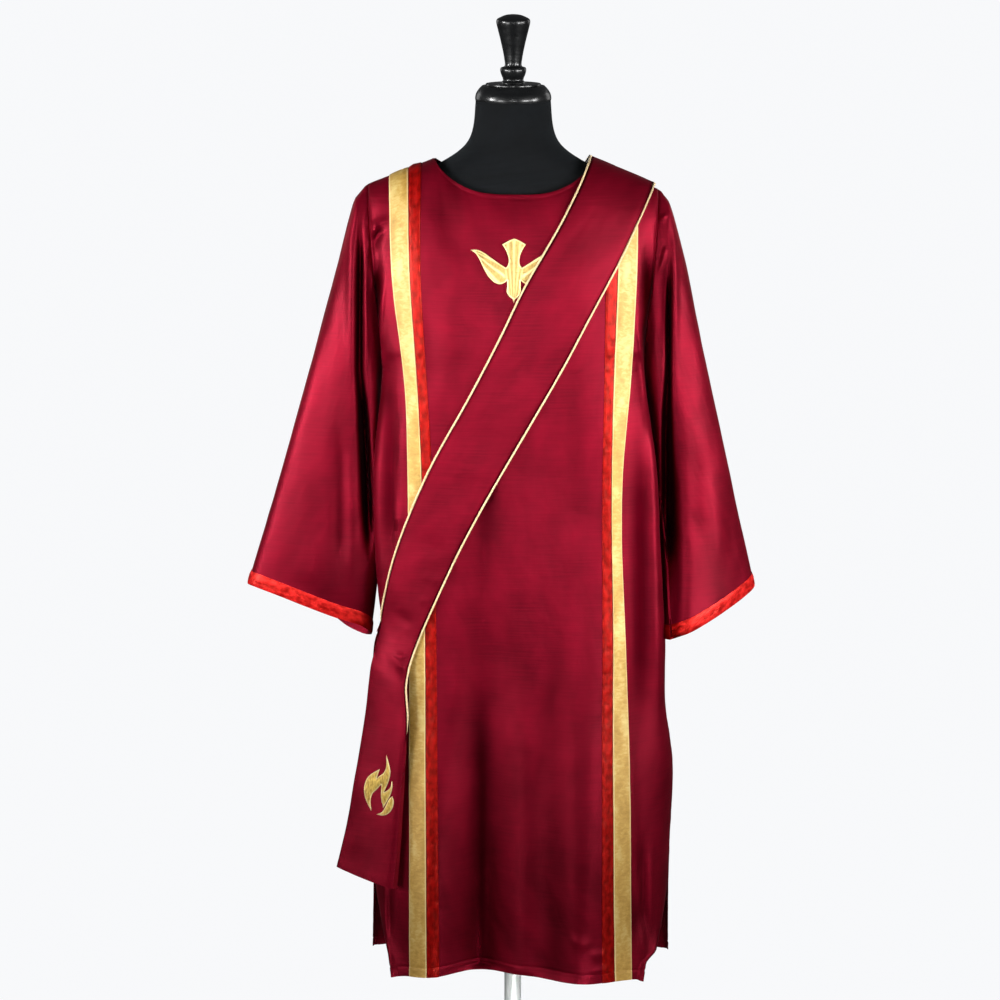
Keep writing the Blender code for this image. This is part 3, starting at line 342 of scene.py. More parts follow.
SLEEVE_CREASES = {
    ("left", "front"): (
        # the deep fold in front of the armhole, and the ridges on both sides of it
        (-231, 1435, -235, 1100, 1, 5, -14, 1.3, 0.4, 0.3),
        (-235, 1190, -222, 850, -2, 6.4, -26, 1.3, 0.35, 0.4),
        (-248, 1415, -248, 1130, 0, 6, 4, 1.3, 0.2, 0.5),
        (-224, 1350, -224, 1150, 0, 3.5, 4.5, 1.1, 0.3, 0.4),
        # the arm's soft folds
        (-269, 1100, -268, 845, -3, 12, -5, 1.1, 0.35, 0.25),
        (-252, 1050, -248, 810, 0, 7.5, 2.4, 1.2, 0.35, 0.25),
        (-275, 1300, -300, 1030, 6, 15, -1.8, 1.5, 0.35, 0.45),
        (-335, 1050, -360, 890, 5, 18, -2, 1.3, 0.4, 0.4),
        (-310, 930, -315, 825, -3, 16, 1.8, 1.3, 0.4, 0.25),
    ),
    ("left", "back"): (
        (-234, 1415, -237, 1120, 1, 6, -16, 1.3, 0.15, 0.4),
        (-250, 1400, -256, 1150, 0, 6, 4.5, 1.3, 0.2, 0.4),
        (-270, 1200, -280, 880, -4, 9, -6, 1.3, 0.35, 0.25),
        (-245, 1050, -248, 800, 2, 7, 4, 1.2, 0.35, 0.25),
        (-310, 1120, -335, 860, 6, 13, -4, 1.4, 0.4, 0.3),
        (-345, 1000, -370, 850, -4, 11, 3.2, 1.3, 0.4, 0.3),
    ),
    ("right", "front"): (
        (229, 1390, 230, 1150, 0, 8.5, -6.5, 1.2, 0.4, 0.4),
        (237.8, 1350, 237, 1090, 0, 3.4, -12.5, 1.4, 0.35, 0.3),
        (235, 1190, 239, 850, 1, 6.2, -19, 1.3, 0.35, 0.3),
        (245.5, 1390, 248, 1130, 0, 5, 4.2, 1.2, 0.2, 0.5),
        (224, 1395, 235, 1405, 0, 3, 4, 1, 0.3, 0.4),
        (231, 1356, 218, 1305, -2, 3.5, 5, 1, 0.2, 0.4),
        (244, 1150, 252, 730, 0, 13, -8.8, 1.2, 0.45, 0.05),
        (286, 1060, 286, 860, 3, 12, -3.4, 1.2, 0.35, 0.35),
        (308, 1010, 320, 850, -3, 12, 2.2, 1.3, 0.35, 0.3),
        (330, 960, 342, 850, 0, 11, -2.4, 1.2, 0.35, 0.3),
        (256, 1300, 270, 1060, -4, 13, -1.8, 1.3, 0.35, 0.4),
    ),
    ("right", "back"): (
        (234, 1410, 237, 1140, 0, 6, -15, 1.3, 0.15, 0.4),
        (248, 1400, 256, 1160, 2, 6, 4.2, 1.3, 0.2, 0.4),
        (270, 1180, 285, 870, 4, 10, -5.5, 1.3, 0.35, 0.25),
        (250, 1030, 256, 810, 0, 8, 3.8, 1.2, 0.35, 0.25),
        (305, 1060, 325, 850, -4, 11, 3.6, 1.4, 0.4, 0.3),
    ),
}
STOLE_CREASES = {
    "front": (
        (-183, 730, -164, 722, 1, 4.8, 2, 1, 0.4, 0.2),
        (-176, 712, -166, 706, 1, 3.6, -1.8, 1, 0.4, 0.2),
        (-156, 930, -95, 890, 5, 11, -1.4, 1.3, 0.4, 0.4),
        (-145, 856, -108, 850, 2, 5, 0.8, 1, 0.4, 0.3),
        (-145, 819, -127, 812, 1, 4, 0.9, 1, 0.4, 0.3),
        (-180, 800, -145, 776, 4, 9, -1.1, 1.2, 0.4, 0.4),
        (30, 1230, 100, 1300, 8, 20, -1.2, 1.3, 0.4, 0.4),
        (-90, 1000, -30, 1070, 6, 18, 1, 1.3, 0.4, 0.4),
        (-190, 670, -200, 450, 5, 15, -2, 1.4, 0.3, 0.3),
        (-225, 560, -240, 400, -4, 14, 2, 1.4, 0.3, 0.2),
    ),
    "back": (
        (40, 1240, 100, 1310, 8, 20, -1.4, 1.3, 0.4, 0.4),
        (-175, 750, -155, 740, 1, 6, 2, 1, 0.4, 0.2),
        (-60, 1030, -20, 1090, 6, 18, 1, 1.3, 0.4, 0.4),
        (-195, 650, -205, 440, 5, 15, -2.2, 1.4, 0.3, 0.3),
    ),
}

UNDER_EDGE_SHADE_REACH = 0.55             # how far round the sleeve the painted shade along its under edge reaches, in radians
# how dark that painted shade is at the under edge itself, from 0 to 1
UNDER_EDGE_PAINTED_SHADE = 0.8
PAINTED_SHADE_DEPTH = 0.010            # the depth of a crease at whose bottom the painted shade is darkest
PAINTED_SHADE_DIMMING = 0.32           # how much of the dark colour is left where the painted shade in a fold is deepest
CREASE_ROOM = 0.045           # creases fade where the cloth is nearer to the seam plane than this

# ---- sewing ----

HEM_DEPTH = 0.0150            # from the hem's edge to its stitching
HEM_PUFF = 0.0007
STITCH_GROOVE = 0.0006
STITCH_HALF_WIDTH = 0.0017
HEM_TURN = 0.003              # over which the puff sinks to the stitching
HEM_END, HEM_FADE = 0.030, 0.004   # where a hem's shape ends, from its edge, and its fade before that
SLIT_HEM = 0.7                # the slit's hem beside the lower one
SEAM_GROOVE = 0.0008
SEAM_HALF_WIDTH = 0.0026
SEAM_SWELL = 0.25             # height of the swell beside a seam, as a share of the groove's depth
SEAM_SWELL_PLACE = 2.6 * SEAM_HALF_WIDTH
SEAM_HOLD = 0.006             # from a seam, creases and ripples grow to their full height over this
PUCKER_PLACE = 0.008          # from a seam to the middle of the puckers that its stitches pull
PUCKER_SIZE = {"body": 0.011, "sleeve": 0.010}
BODY_PUCKER, BODY_PUCKER_WIDTH = 0.0005, 0.007
NECK_FACING = 0.0060
FACING_RISE, FACING_EDGE = 0.0003, 0.002
FACING_GROOVE, FACING_GROOVE_WIDTH = 0.0004, 0.0016
CORNER_TURN = 0.0125          # how far the front's right corner is turned in over the last stretch
CORNER_TURN_TOP, CORNER_TURN_FADE = 0.254, 0.022
CORNER_TURN_SHARE = 0.14      # share of half the front's width that turns in

SLEEVE_HOLD = 0.008           # what SEAM_HOLD is, from the armhole
SLEEVE_PUCKER, SLEEVE_PUCKER_WIDTH = 0.0007, 0.008
SIDE_FADE = 0.12              # a sleeve's creases fade where its wall turns from one face to the other
ARM_RADIUS = 0.05             # what turns the angle round a sleeve into a distance, near the underarm
UNDER_SEAM, UNDER_SEAM_FADE = 0.7, 0.020

STRIP_SEWING = (0.07, 0.35, 0.16, 0.06)   # rounded edge; the stitching's depth, place and width
STRIP_FLAT = 0.3              # share of half the width over which the puckers grow from each edge
STRIP_PUCKER_FLOOR = -0.35
# where the painted highlight near each edge of a strip lies and how wide it is, as shares of half its width
STRIP_PAINTED_HIGHLIGHT_PLACE, STRIP_PAINTED_HIGHLIGHT_WIDTH = 0.05, 0.055
LEAST_EDGE = 0.09
CUFF_SEWING = (0.09, 0.30, 0.20, 0.08)
CUFF_PUCKER = 0.0005
CUFF_PUCKERS = ((30, 0.0120, 1), (40, 0.0085, 0.35))   # what is added to the seed, size, upward share
CUFF_PUCKER_FLOOR = -0.3
CUFF_FLAT_EDGE, CUFF_PUCKER_FADE = 0.1, 0.5

STOLE_HOLD = 0.030            # what SEAM_HOLD is, from the shoulder seam
STOLE_ROUNDING, STOLE_LEAST_EDGE = 0.05, 0.12
STOLE_STITCH, STOLE_STITCH_PLACE, STOLE_STITCH_WIDTH = 0.0002, 0.11, 0.022
STOLE_HEM, STOLE_HEM_PUCKER = 0.8, 0.012
TAIL_ROLL = 0.0100            # how far the stole's end rolls back along its arm-side edge
TAIL_ROLL_SHARE = 0.13
TAIL_ROLL_START, TAIL_ROLL_FADE = 12.0, 1.2   # in rows of the stole's table
PIPING_LAST = {"neck": 10.0, "arm": 12.25}   # row of the stole's table at which its piping ends
PIPING_PITCH = 0.0062
PIPING_CORE, PIPING_STRAND = 0.86, 0.20      # shares of its radius
PIPING_TUCK = 0.045           # the last of it, which goes behind the stole, and how far
PIPING_TUCK_ASIDE, PIPING_TUCK_DEPTH = 0.0035, 0.0045
PIPING_PAINTED_SHADE = 0.10             # share of half the stole's width that the painted shade beside its piping takes

FEATHERS, BARBS = 15, 38      # stitched lines in half a turn round the wing's tip, and below the tail
BARBS_BELOW = 0.075           # how far under its middle the barbs' lines meet
DOVE_ROOM = 0.080             # how much of the chest above and below its middle the dove is laid on

# Ripples: their height, their size, and how much longer they are upward where the last is under 1.
BODY_RIPPLES = ((0.0011, 0.075, 0.5), (0.0004, 0.026, 0.7))
SLEEVE_RIPPLES = ((0.0013, 0.060, 0.5), (0.0004, 0.024, 0.7))
STOLE_RIPPLES = ((0.0006, 0.070, 1), (0.00025, 0.022, 1))
BODY_SEED = {"front": 1, "back": 2}
SLEEVE_SEED = {"left": 3, "right": 4}
STOLE_SEED = {"front": 5, "back": 6}
STOLE_HEM_SEED, STRIP_SEED = 9, 30

# ---- how finely each piece is divided ----

HEM_ROWS, SLIT_ROWS, SKIRT_ROWS, ARM_ROWS = 15, 36, 130, 70
HEM_ROWS_TOP = HEM + 1.6 * HEM_DEPTH
SIDE_COLUMNS, GOLD_COLUMNS, RED_COLUMNS, CENTRE_COLUMNS = 20, 6, 5, 80
STRIPE_COLUMNS = (GOLD_COLUMNS, RED_COLUMNS, CENTRE_COLUMNS, RED_COLUMNS, GOLD_COLUMNS)
LEFT_GOLD, LEFT_RED, CENTRE, RIGHT_RED, RIGHT_GOLD, RIGHT_END = (
    SIDE_COLUMNS + sum(STRIPE_COLUMNS[:count]) for count in range(6))
STRIPS = (("gold", "left", LEFT_GOLD, LEFT_RED), ("red", "left", LEFT_RED, CENTRE),
          ("red", "right", RIGHT_RED, RIGHT_GOLD), ("gold", "right", RIGHT_GOLD, RIGHT_END))
STRIP_EDGE = np.array((0, 0.035, 0.08, 0.14))
STRIP_PLACES = np.concatenate([STRIP_EDGE, np.linspace(0.25, 0.75, 5), 1 - STRIP_EDGE[::-1]])
SETTING_END, SETTING_ROWS = 0.15, 6       # of the stretch beside the armhole
SLEEVE_ROWS, CUFF_ROWS, AROUND = 124, 12, 192
STOLE_ROWS, STOLE_CROWDING = 250, 1.35    # rows lie closer together towards the shoulder
STOLE_EDGE = np.array((0, 0.012, 0.028, 0.05, 0.07))
STOLE_PLACES = np.concatenate([STOLE_EDGE, np.linspace(0.09, 0.91, 19), 1 - STOLE_EDGE[::-1]])
PIPING_STEP, PIPING_SIDES = 0.0014, 10
OUTLINE_STEP, PATCH_CELL = 0.0012, 0.0009
TORSO_ROWS, CAP_ROWS, FINIAL_ROWS, TURNED_SEGMENTS = 150, 24, 110, 96
TURNED_ROUNDING, ROUNDING_STEPS = 0.0012, 4
HALVINGS = 26                 # in the search for the neckline
FAR = 1.0                     # stands for the distance from a seam where there is none


# ---- tables and curves ----

def read_table(names, rows):
    """A table as an array for each named column."""
    return dict(zip(names, np.array(rows, float).T))


def curve(keys, values, at):
    """Values, or points, at places between the rows, on a smooth curve through them."""
    keys, values, at = (np.asarray(numbers, float) for numbers in (keys, values, at))
    last = len(keys) - 1
    order = np.arange(last + 1)
    before, after = np.maximum(order - 1, 0), np.minimum(order + 1, last)
    wide = (...,) + (None,) * (values.ndim - 1)
    slopes = (values[after] - values[before]) / (keys[after] - keys[before])[wide]
    at = np.clip(at, keys[0], keys[-1])
    low = np.clip(np.searchsorted(keys, at, side="right") - 1, 0, last - 1)
    span = (keys[low + 1] - keys[low])[wide]
    share = (at - keys[low])[wide] / span
    square, cube = share ** 2, share ** 3
    return (values[low] * (2 * cube - 3 * square + 1) + slopes[low] * span * (cube - 2 * square + share)
            + values[low + 1] * (3 * square - 2 * cube) + slopes[low + 1] * span * (cube - square))


def soft_step(share):
    share = np.clip(share, 0.0, 1.0)
    return share * share * (3 - 2 * share)


def mix(start, end, share):
    return start + (end - start) * share


def bump(distance, width):
    """A soft hump, 1 in its middle."""
    return np.exp(-(distance / width) ** 2)


def unit(vectors):
    """The same directions with a length of 1."""
    return vectors / (np.linalg.norm(vectors, axis=-1, keepdims=True) + 1e-12)


def from_edges(share):
    """0 at both edges of a strip and 1 in its middle."""
    return 1 - np.abs(2 * share - 1)


def rounded_off(middle, edge, least):
    """A strip's thickness as a share of its full one, where its edges are rounded."""
    return np.sqrt(np.clip(1 - (1 - np.clip(middle / edge, 0, 1)) ** 2, least, 1))


def creases(rows, x, z):
    """How far a list of creases lifts the cloth at places seen from the front."""
    total = np.zeros_like(x)
    for *sizes, widen, rise, fall in rows:
        x0, z0, x1, z1, bend, width, height = (size / 1000 for size in sizes)
        run_x, run_z = x1 - x0, z1 - z0
        length = math.hypot(run_x, run_z)
        along = ((x - x0) * run_x + (z - z0) * run_z) / length ** 2
        inside = np.clip(along, 0, 1)
        aside = ((x - x0) * run_z - (z - z0) * run_x) / length - bend * 4 * inside * (1 - inside)
        grown = soft_step(along / rise) * soft_step((1 - along) / fall)
        total += height * grown * bump(aside, width * mix(1, widen, inside))
    return total


def painted_fold_shade(lift):
    """How deep in a fold the cloth is, from 0 to 1, which is how much painted shade it gets."""
    return soft_step(-lift / PAINTED_SHADE_DEPTH)


def unevenness(points, size, seed):
    """Smooth random heights from -1 to 1 at points, with lumps of about the given size."""
    shift = Vector((seed * 7.3, seed * 3.1, seed * 5.7))
    flat = points.reshape(-1, 3) / size
    heights = [noise.noise(Vector(point) + shift) for point in flat]
    return np.array(heights).reshape(points.shape[:-1])


def ripples(points, kinds, seed):
    """Ripples of several heights and sizes, each longer upward where its last number is under 1."""
    return sum(height * unevenness(points * (1, 1, upward), size, seed + 10 * index)
               for index, (height, size, upward) in enumerate(kinds))


def puckers(points, size, floor, seed):
    """Lumps that start at 0, flat where the unevenness is under a floor."""
    return np.maximum(unevenness(points, size, seed), floor) - floor


# ---- the dalmatic's body ----

BODY = read_table(SECTION_COLUMNS, SECTIONS)
BAND_EDGES = read_table(BAND_COLUMNS, BANDS)


def section(name, level):
    return curve(BODY["height"], BODY[name], level)


def shoulder_height(x):
    """Height of the shoulder seam, carried on over the neck as a low arch."""
    reach = np.abs(x)
    level = NECK_POINT - SHOULDER_LEAN * x
    arch = 0.5 * SHOULDER_SLOPE * NECK_HALF_WIDTH
    over_neck = level + arch * (1 - (reach / NECK_HALF_WIDTH) ** 2)
    return np.where(reach > NECK_HALF_WIDTH, level - SHOULDER_SLOPE * (reach - NECK_HALF_WIDTH), over_neck)


def slit_share(z):
    """How far a place is down the side slit: 0 at its top and above it, 1 at the hem."""
    down = np.maximum(SLIT_TOP - z, 0.0) / (SLIT_TOP - HEM)
    return soft_step(down / SLIT_CURVE) / soft_step(1 / SLIT_CURVE)


def side_edges(face, level):
    tuck_left, tuck_right = SLIT_TUCK[face]
    drawn_in = slit_share(level)
    return section("left", level) + tuck_left * drawn_in, section("right", level) - tuck_right * drawn_in


def folds(face, x, z):
    total = np.zeros_like(x)
    for across, lean, width, depth, top, full in FOLDS[face]:
        grown = soft_step((top - z) / (top - full))
        total += depth * grown * bump(x - across - lean * (z - HEM), width)
    return total


def stand_off(face, x, z, share, rise):
    """How far the cloth stands from the seam plane."""
    rise = np.clip(rise, 0, 1)
    above = z > UNDERARM
    deep = section(face, z) * np.where(above, (1 - rise ** ROLL) ** (1 / ROLL), 1.0)
    armhole, slit = 2 * ARMHOLE_DEPTH * np.sqrt(rise * (1 - rise)), SLIT_SPREAD[face] * slit_share(z)
    rounding = (1 - np.clip(np.abs(share), 0, 1) ** CORNER) ** (1 / CORNER)
    reach = EDGE_REACH + np.where(above, UNDERARM_REACH * (1 - soft_step(rise / UNDERARM_BLEND)), 0.0)
    edge = np.where(above, armhole, slit) * np.abs(share) ** reach
    return edge + (deep - edge + folds(face, x, z)) * rounding


def cloth_depth(face, x, z):
    """How far the dalmatic stands from the seam plane at x and z as seen from the front."""
    left, right = side_edges(face, z)
    share = np.clip(2 * (x - left) / (right - left) - 1, -1, 1)
    rise = (z - UNDERARM) / (shoulder_height(x) - UNDERARM)
    return stand_off(face, x, z, share, rise)


def neckline_rise(face, x):
    """The rise at which each column of cloth ends: at the neckline, or on the shoulder seam."""
    reach = NECK_REACH[face] * (1 - np.minimum(np.abs(x / NECK_HALF_WIDTH), 1) ** CORNER) ** (1 / CORNER)
    low, high = np.zeros_like(x), np.ones_like(x)
    for _ in range(HALVINGS):
        middle = (low + high) / 2
        outside = cloth_depth(face, x, UNDERARM + (shoulder_height(x) - UNDERARM) * middle) > reach
        low, high = np.where(outside, middle, low), np.where(outside, high, middle)
    return np.where(np.abs(x) >= NECK_HALF_WIDTH, 1.0, (low + high) / 2)


def row_levels():
    """Level of each row of the body, and its rise above the underarm, as columns of numbers."""
    stretches = ((HEM, HEM_ROWS_TOP, HEM_ROWS), (HEM_ROWS_TOP, SLIT_TOP, SLIT_ROWS),
                 (SLIT_TOP, UNDERARM, SKIRT_ROWS))
    low = np.concatenate([np.linspace(*stretch, endpoint=False) for stretch in stretches])
    rise = np.sin(0.5 * np.pi * np.linspace(0, 1, ARM_ROWS + 1)) ** 2
    level = np.concatenate([low, mix(UNDERARM, SHOULDER_TIP, rise)])
    return level[:, None], np.concatenate([np.zeros_like(low), rise])[:, None]


def column_places(face, level):
    """Sideways places of the rows' points, and their shares of the half width."""
    left, right = side_edges(face, level)
    half, middle = (right - left) / 2, (right + left) / 2
    outer_left, outer_right, gold_wide_left, red_wide_left, gold_wide_right, red_wide_right = (
        curve(BAND_EDGES["height"], BAND_EDGES[name], level) for name in BAND_COLUMNS[1:])
    gold_left, gold_right = outer_left + gold_wide_left, outer_right - gold_wide_right
    red_left, red_right = gold_left + red_wide_left, gold_right - red_wide_right

    def turn_to(x, edge, name):
        """Places from a side edge to a band, close together where the cloth turns back."""
        start = np.arcsin(np.abs((x - middle) / half) ** (CORNER / 2))
        back = 1 - np.arange(SIDE_COLUMNS) / SIDE_COLUMNS
        share = edge * np.sin(mix(start, np.pi / 2, back)) ** (2 / CORNER)
        return middle + half * share - edge * section(name, level) * back ** PINCH_SPAN, share

    edges = (outer_left, gold_left, red_left, red_right, gold_right, outer_right)
    inner = [mix(start, end, np.arange(count) / count)
             for start, end, count in zip(edges, edges[1:], STRIPE_COLUMNS)]
    inner = np.hstack([*inner, outer_right])
    left_x, left_share = turn_to(outer_left, -1, "pinch_left")
    right_x, right_share = turn_to(outer_right, 1, "pinch_right")
    return (np.hstack([left_x, inner, right_x[:, ::-1]]),
            np.hstack([left_share, (inner - middle) / half, right_share[:, ::-1]]))


# ---- grids of points ----

def slope_along(grid, axis, around=False):
    """The step from the point before to the point after, along an axis of a grid."""
    if around:
        return np.roll(grid, -1, axis) - np.roll(grid, 1, axis)
    return np.gradient(grid, axis=axis)


def grid_normals(grid, outward, around=False):
    """Unit normals of a grid, on the side that the vectors of `outward` point to."""
    normal = unit(np.cross(slope_along(grid, 0), slope_along(grid, 1, around)))
    return normal * np.where((normal * outward).sum(-1, keepdims=True) < 0, -1.0, 1.0)


def from_middle(x, out):
    """Vectors from the garment's middle line to a face at places x, for the sides that they are on."""
    return np.stack([x, np.full_like(x, out * NECK_HALF_WIDTH), np.zeros_like(x)], -1)


def lengths(grid, axis, backward=False):
    """How far each point of a grid is from its first, or last, point along an axis."""
    steps = np.linalg.norm(np.diff(grid, axis=axis), axis=-1)
    if backward:
        steps = np.flip(steps, axis)
    total = np.cumsum(steps, axis)
    start = np.zeros_like(np.take(total, [0], axis))
    total = np.concatenate([start, total], axis)
    return np.flip(total, axis) if backward else total


def flat_map(grid, around=False, level=False):
    """UV coordinates in metres: across a grid, and up it or, for cloth whose weft is level, its height."""
    if around:
        grid = np.concatenate([grid, grid[:, :1]], 1)
    across = lengths(grid, 1)
    upward = grid[..., 2] if level else lengths(grid, 0).mean(1, keepdims=True) + np.zeros_like(across)
    return np.stack([across, upward], -1)


def quads(grid):
    """The four-sided faces between neighbours in a grid of numbers."""
    a, b, c, d = grid[:-1, :-1], grid[:-1, 1:], grid[1:, 1:], grid[1:, :-1]
    return np.stack([a, b, c, d], -1).reshape(-1, 4)


def wall(name, outer, inner, mapped, material, around=False):
    """A closed wall between an outer and an inner grid."""
    rows, columns = outer.shape[:2]
    count = rows * columns
    facing = np.cross(slope_along(outer, 1, around), slope_along(outer, 0))
    inside_out = (facing * (outer - inner)).sum() < 0

    def closed(index, other):
        skin = quads(index)
        edges = [(index[0, 1:], index[0, :-1]), (index[-1, :-1], index[-1, 1:])]
        if not around:
            edges += [(index[1:, -1], index[:-1, -1]), (index[:-1, 0], index[1:, 0])]
        rims = [np.stack([first, second, second + other, first + other], -1) for first, second in edges]
        faces = np.concatenate([skin, skin[:, ::-1] + other, *rims])
        return faces[:, ::-1] if inside_out else faces

    index = np.arange(count).reshape(rows, columns)
    if around:
        index = np.hstack([index, index[:, :1]])
    places = np.arange(mapped.shape[0] * mapped.shape[1]).reshape(mapped.shape[:2])
    points = np.concatenate([outer.reshape(-1, 3), inner.reshape(-1, 3)])
    corners = mapped.reshape(-1, 2)[closed(places, 0).ravel()]
    return mesh_piece(name, points, closed(index, count).tolist(), corners, material)


def loft(name, rings, material, sharp=50):
    """A solid through rings of points, closed at both ends by fans round their middles."""
    rows, columns = rings.shape[:2]
    count = rows * columns
    mapped = flat_map(rings, around=True)
    index = np.arange(count).reshape(rows, columns)
    index = np.hstack([index, index[:, :1]])
    places = np.arange(rows * (columns + 1)).reshape(rows, columns + 1)
    turn = np.cross(rings[0, 0] - rings[0, columns // 3], rings[0, columns // 2] - rings[0, columns // 3])
    inside_out = turn @ (rings[1].mean(0) - rings[0].mean(0)) > 0
    way = -1 if inside_out else 1

    points = np.concatenate([rings.reshape(-1, 3), rings[:1].mean(1), rings[-1:].mean(1)])
    faces = quads(index)[:, ::way].tolist()
    corners = mapped.reshape(-1, 2)[quads(places)[:, ::way].ravel()].tolist()
    for row, centre, order in ((0, count, way), (-1, count + 1, -way)):
        for column in range(columns):
            faces.append([int(index[row, column + 1]), int(index[row, column]), centre][::order])
            fan = [mapped[row, column + 1], mapped[row, column], mapped[row, column]]
            corners += [place.tolist() for place in fan[::order]]
    return mesh_piece(name, points, faces, corners, material, sharp)


def mesh_piece(name, points, faces, mapped, material, sharp=50):
    """An object from points and faces, with a UV for each corner of each face."""
    mesh = bpy.data.meshes.new(name)
    mesh.from_pydata(np.asarray(points).tolist(), [], faces)
    mesh.uv_layers.new(name="UVMap").data.foreach_set("uv", np.asarray(mapped, np.float32).ravel())
    mesh.shade_smooth()
    mesh.set_sharp_from_angle(angle=math.radians(sharp))
    mesh.materials.append(material)
    piece = bpy.data.objects.new(name, mesh)
    bpy.context.scene.collection.objects.link(piece)
    return piece


def keep_values(piece, name, values):
    """Keep a number for each of the piece's points."""
    attribute = piece.data.attributes.new(name, "FLOAT", "POINT")
    attribute.data.foreach_set("value", np.asarray(values, np.float32))


def mark(piece, name, values):
    """Keep a number for each point of a wall's outer grid, and the same for its inner one."""
    keep_values(piece, name, np.tile(np.ravel(values), 2))


def stand_for(piece, slot_name, *nodes):
    """The piece moves with the part's one body and stands for these nodes of the frame."""
    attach(piece, "root")
    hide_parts(*nodes)
    return piece


# ---- materials ----

class Shader:
    """A material's node tree, with short ways to add and join its nodes."""

    def __init__(self, name, **values):
        self.material = bpy.data.materials.new(name)
        self.material.use_nodes = True
        self.nodes, self.links = self.material.node_tree.nodes, self.material.node_tree.links
        self.surface = self.nodes["Principled BSDF"]
        for socket, value in values.items():
            self.surface.inputs[socket.replace("_", " ")].default_value = value

    def add(self, kind, inputs, **settings):
        """A node, with a value or an output for each of its named or numbered inputs."""
        node = self.nodes.new(kind)
        for key, value in settings.items():
            setattr(node, key, value)
        for socket, value in inputs.items():
            if isinstance(value, bpy.types.NodeSocket):
                self.links.new(value, node.inputs[socket])
            else:
                node.inputs[socket].default_value = value
        return node

    def set(self, socket, output):
        self.links.new(output, self.surface.inputs[socket])

    def attribute(self, name):
        return self.add("ShaderNodeAttribute", {}, attribute_name=name).outputs["Fac"]

    def place(self, scale):
        """The UV map times two numbers, or object coordinates times three, both in metres."""
        if len(scale) == 2:
            source = self.add("ShaderNodeUVMap", {}, uv_map="UVMap").outputs["UV"]
        else:
            source = self.add("ShaderNodeTexCoord", {}).outputs["Object"]
        return self.add("ShaderNodeMapping", {"Vector": source, "Scale": (*scale, 1)[:3]}).outputs["Vector"]

    def noise(self, scale, detail=2.0, roughness=0.5, distortion=0.0):
        inputs = {"Vector": self.place(scale), "Scale": 1.0, "Detail": detail, "Roughness": roughness,
                  "Distortion": distortion}
        return self.add("ShaderNodeTexNoise", inputs).outputs["Fac"]

    def waves(self, scale, direction, distortion):
        inputs = {"Vector": self.place(scale), "Scale": 1.0, "Distortion": distortion}
        return self.add("ShaderNodeTexWave", inputs, bands_direction=direction).outputs["Fac"]

    def ramp(self, factor, *stops):
        """Colours at places from 0 to 1."""
        node = self.add("ShaderNodeValToRGB", {"Fac": factor})
        while len(node.color_ramp.elements) < len(stops):
            node.color_ramp.elements.new(0.5)
        for element, (position, colour) in zip(node.color_ramp.elements, stops):
            element.position = position
            element.color = (*colour, 1)
        return node.outputs["Color"]

    def scale_to(self, factor, low, high):
        """A factor from 0 to 1 spread over another range."""
        inputs = {"Value": factor, "To Min": low, "To Max": high}
        return self.add("ShaderNodeMapRange", inputs).outputs["Result"]

    def math(self, operation, first, second):
        return self.add("ShaderNodeMath", {0: first, 1: second}, operation=operation).outputs["Value"]

    def blend(self, first, second, share):
        """Two factors as one, the second with its share and the first with the rest."""
        first, second = self.math("MULTIPLY", first, 1 - share), self.math("MULTIPLY", second, share)
        return self.math("ADD", first, second)

    def mixed(self, factor, first, second):
        """A colour that goes over to another as a factor goes from 0 to 1."""
        inputs = {0: factor, 6: first, 7: (*second, 1)}
        return self.add("ShaderNodeMix", inputs, data_type="RGBA").outputs[2]

    def paint_fold_shade(self, colour, dark, metallic):
        """Painted shade in the bottoms of the folds: a dimmed dark base colour, and a metallic that rises
        to 1 so that the satin there mirrors nothing but itself and its reflections are painted out.
        """
        # the fold attribute holds how much painted shade each point gets
        fold = self.attribute("fold")
        self.set("Metallic", self.scale_to(fold, metallic, 1.0))
        self.set("Base Color", self.mixed(fold, colour, [PAINTED_SHADE_DIMMING * share for share in dark]))

    def bumps(self, *heights):
        """Bumps on top of each other, each a height and its depth in metres."""
        normal = None
        for height, depth in heights:
            node = self.add("ShaderNodeBump", {"Height": height, "Strength": 1.0, "Distance": depth})
            if normal:
                self.links.new(normal, node.inputs["Normal"])
            normal = node.outputs["Normal"]
        self.set("Normal", normal)


def satin(name, dark, light, glint):
    """Satin: warp floats with faint slubs across them and soft blotches of sheen."""
    shader = Shader(name, Specular_IOR_Level=0.28, Specular_Tint=(*glint, 1), Sheen_Weight=0.04,
                    Sheen_Roughness=0.35, Sheen_Tint=(*glint, 1))
    blotches = shader.noise((16, 9), detail=3)
    slubs = shader.noise((16, 430), detail=3, roughness=0.6)
    floats = shader.noise((1500, 90), detail=1)
    weft = shader.waves((1, 330), "Y", 0.3)
    tone = shader.blend(blotches, slubs, 0.32)
    # painted shade in the bottoms of the creases
    shader.paint_fold_shade(shader.ramp(tone, (0.34, dark), (0.66, light)), dark, 0.50)
    shader.set("Roughness", shader.scale_to(shader.blend(blotches, slubs, 0.5), 0.38, 0.52))
    shader.bumps((blotches, 0.0022), (slubs, 0.00012), (floats, 0.00006), (weft, 0.00004))
    return shader.material


def lame(name, dark, middle, light, edge):
    """Gold lamé: crushed metal thread, mottled, with a pale painted highlight along its turned edges."""
    shader = Shader(name, Metallic=0.12)
    crush = shader.noise((110, 190), detail=4, roughness=0.62, distortion=0.6)
    patches = shader.noise((30, 14), detail=2)
    weave = shader.waves((1, 420), "Y", 0.2)
    ribs = shader.waves((420, 1), "X", 0.2)
    tone = shader.blend(crush, patches, 0.6)
    colour = shader.ramp(tone, (0.36, dark), (0.50, middle), (0.64, light))
    # the pale edge colour is a painted highlight along the strip's edges
    shader.set("Base Color", shader.mixed(shader.attribute("edge"), colour, edge))
    shader.set("Roughness", shader.scale_to(crush, 0.42, 0.60))
    shader.bumps((patches, 0.0014), (crush, 0.00034), (weave, 0.00004), (ribs, 0.00003))
    return shader.material


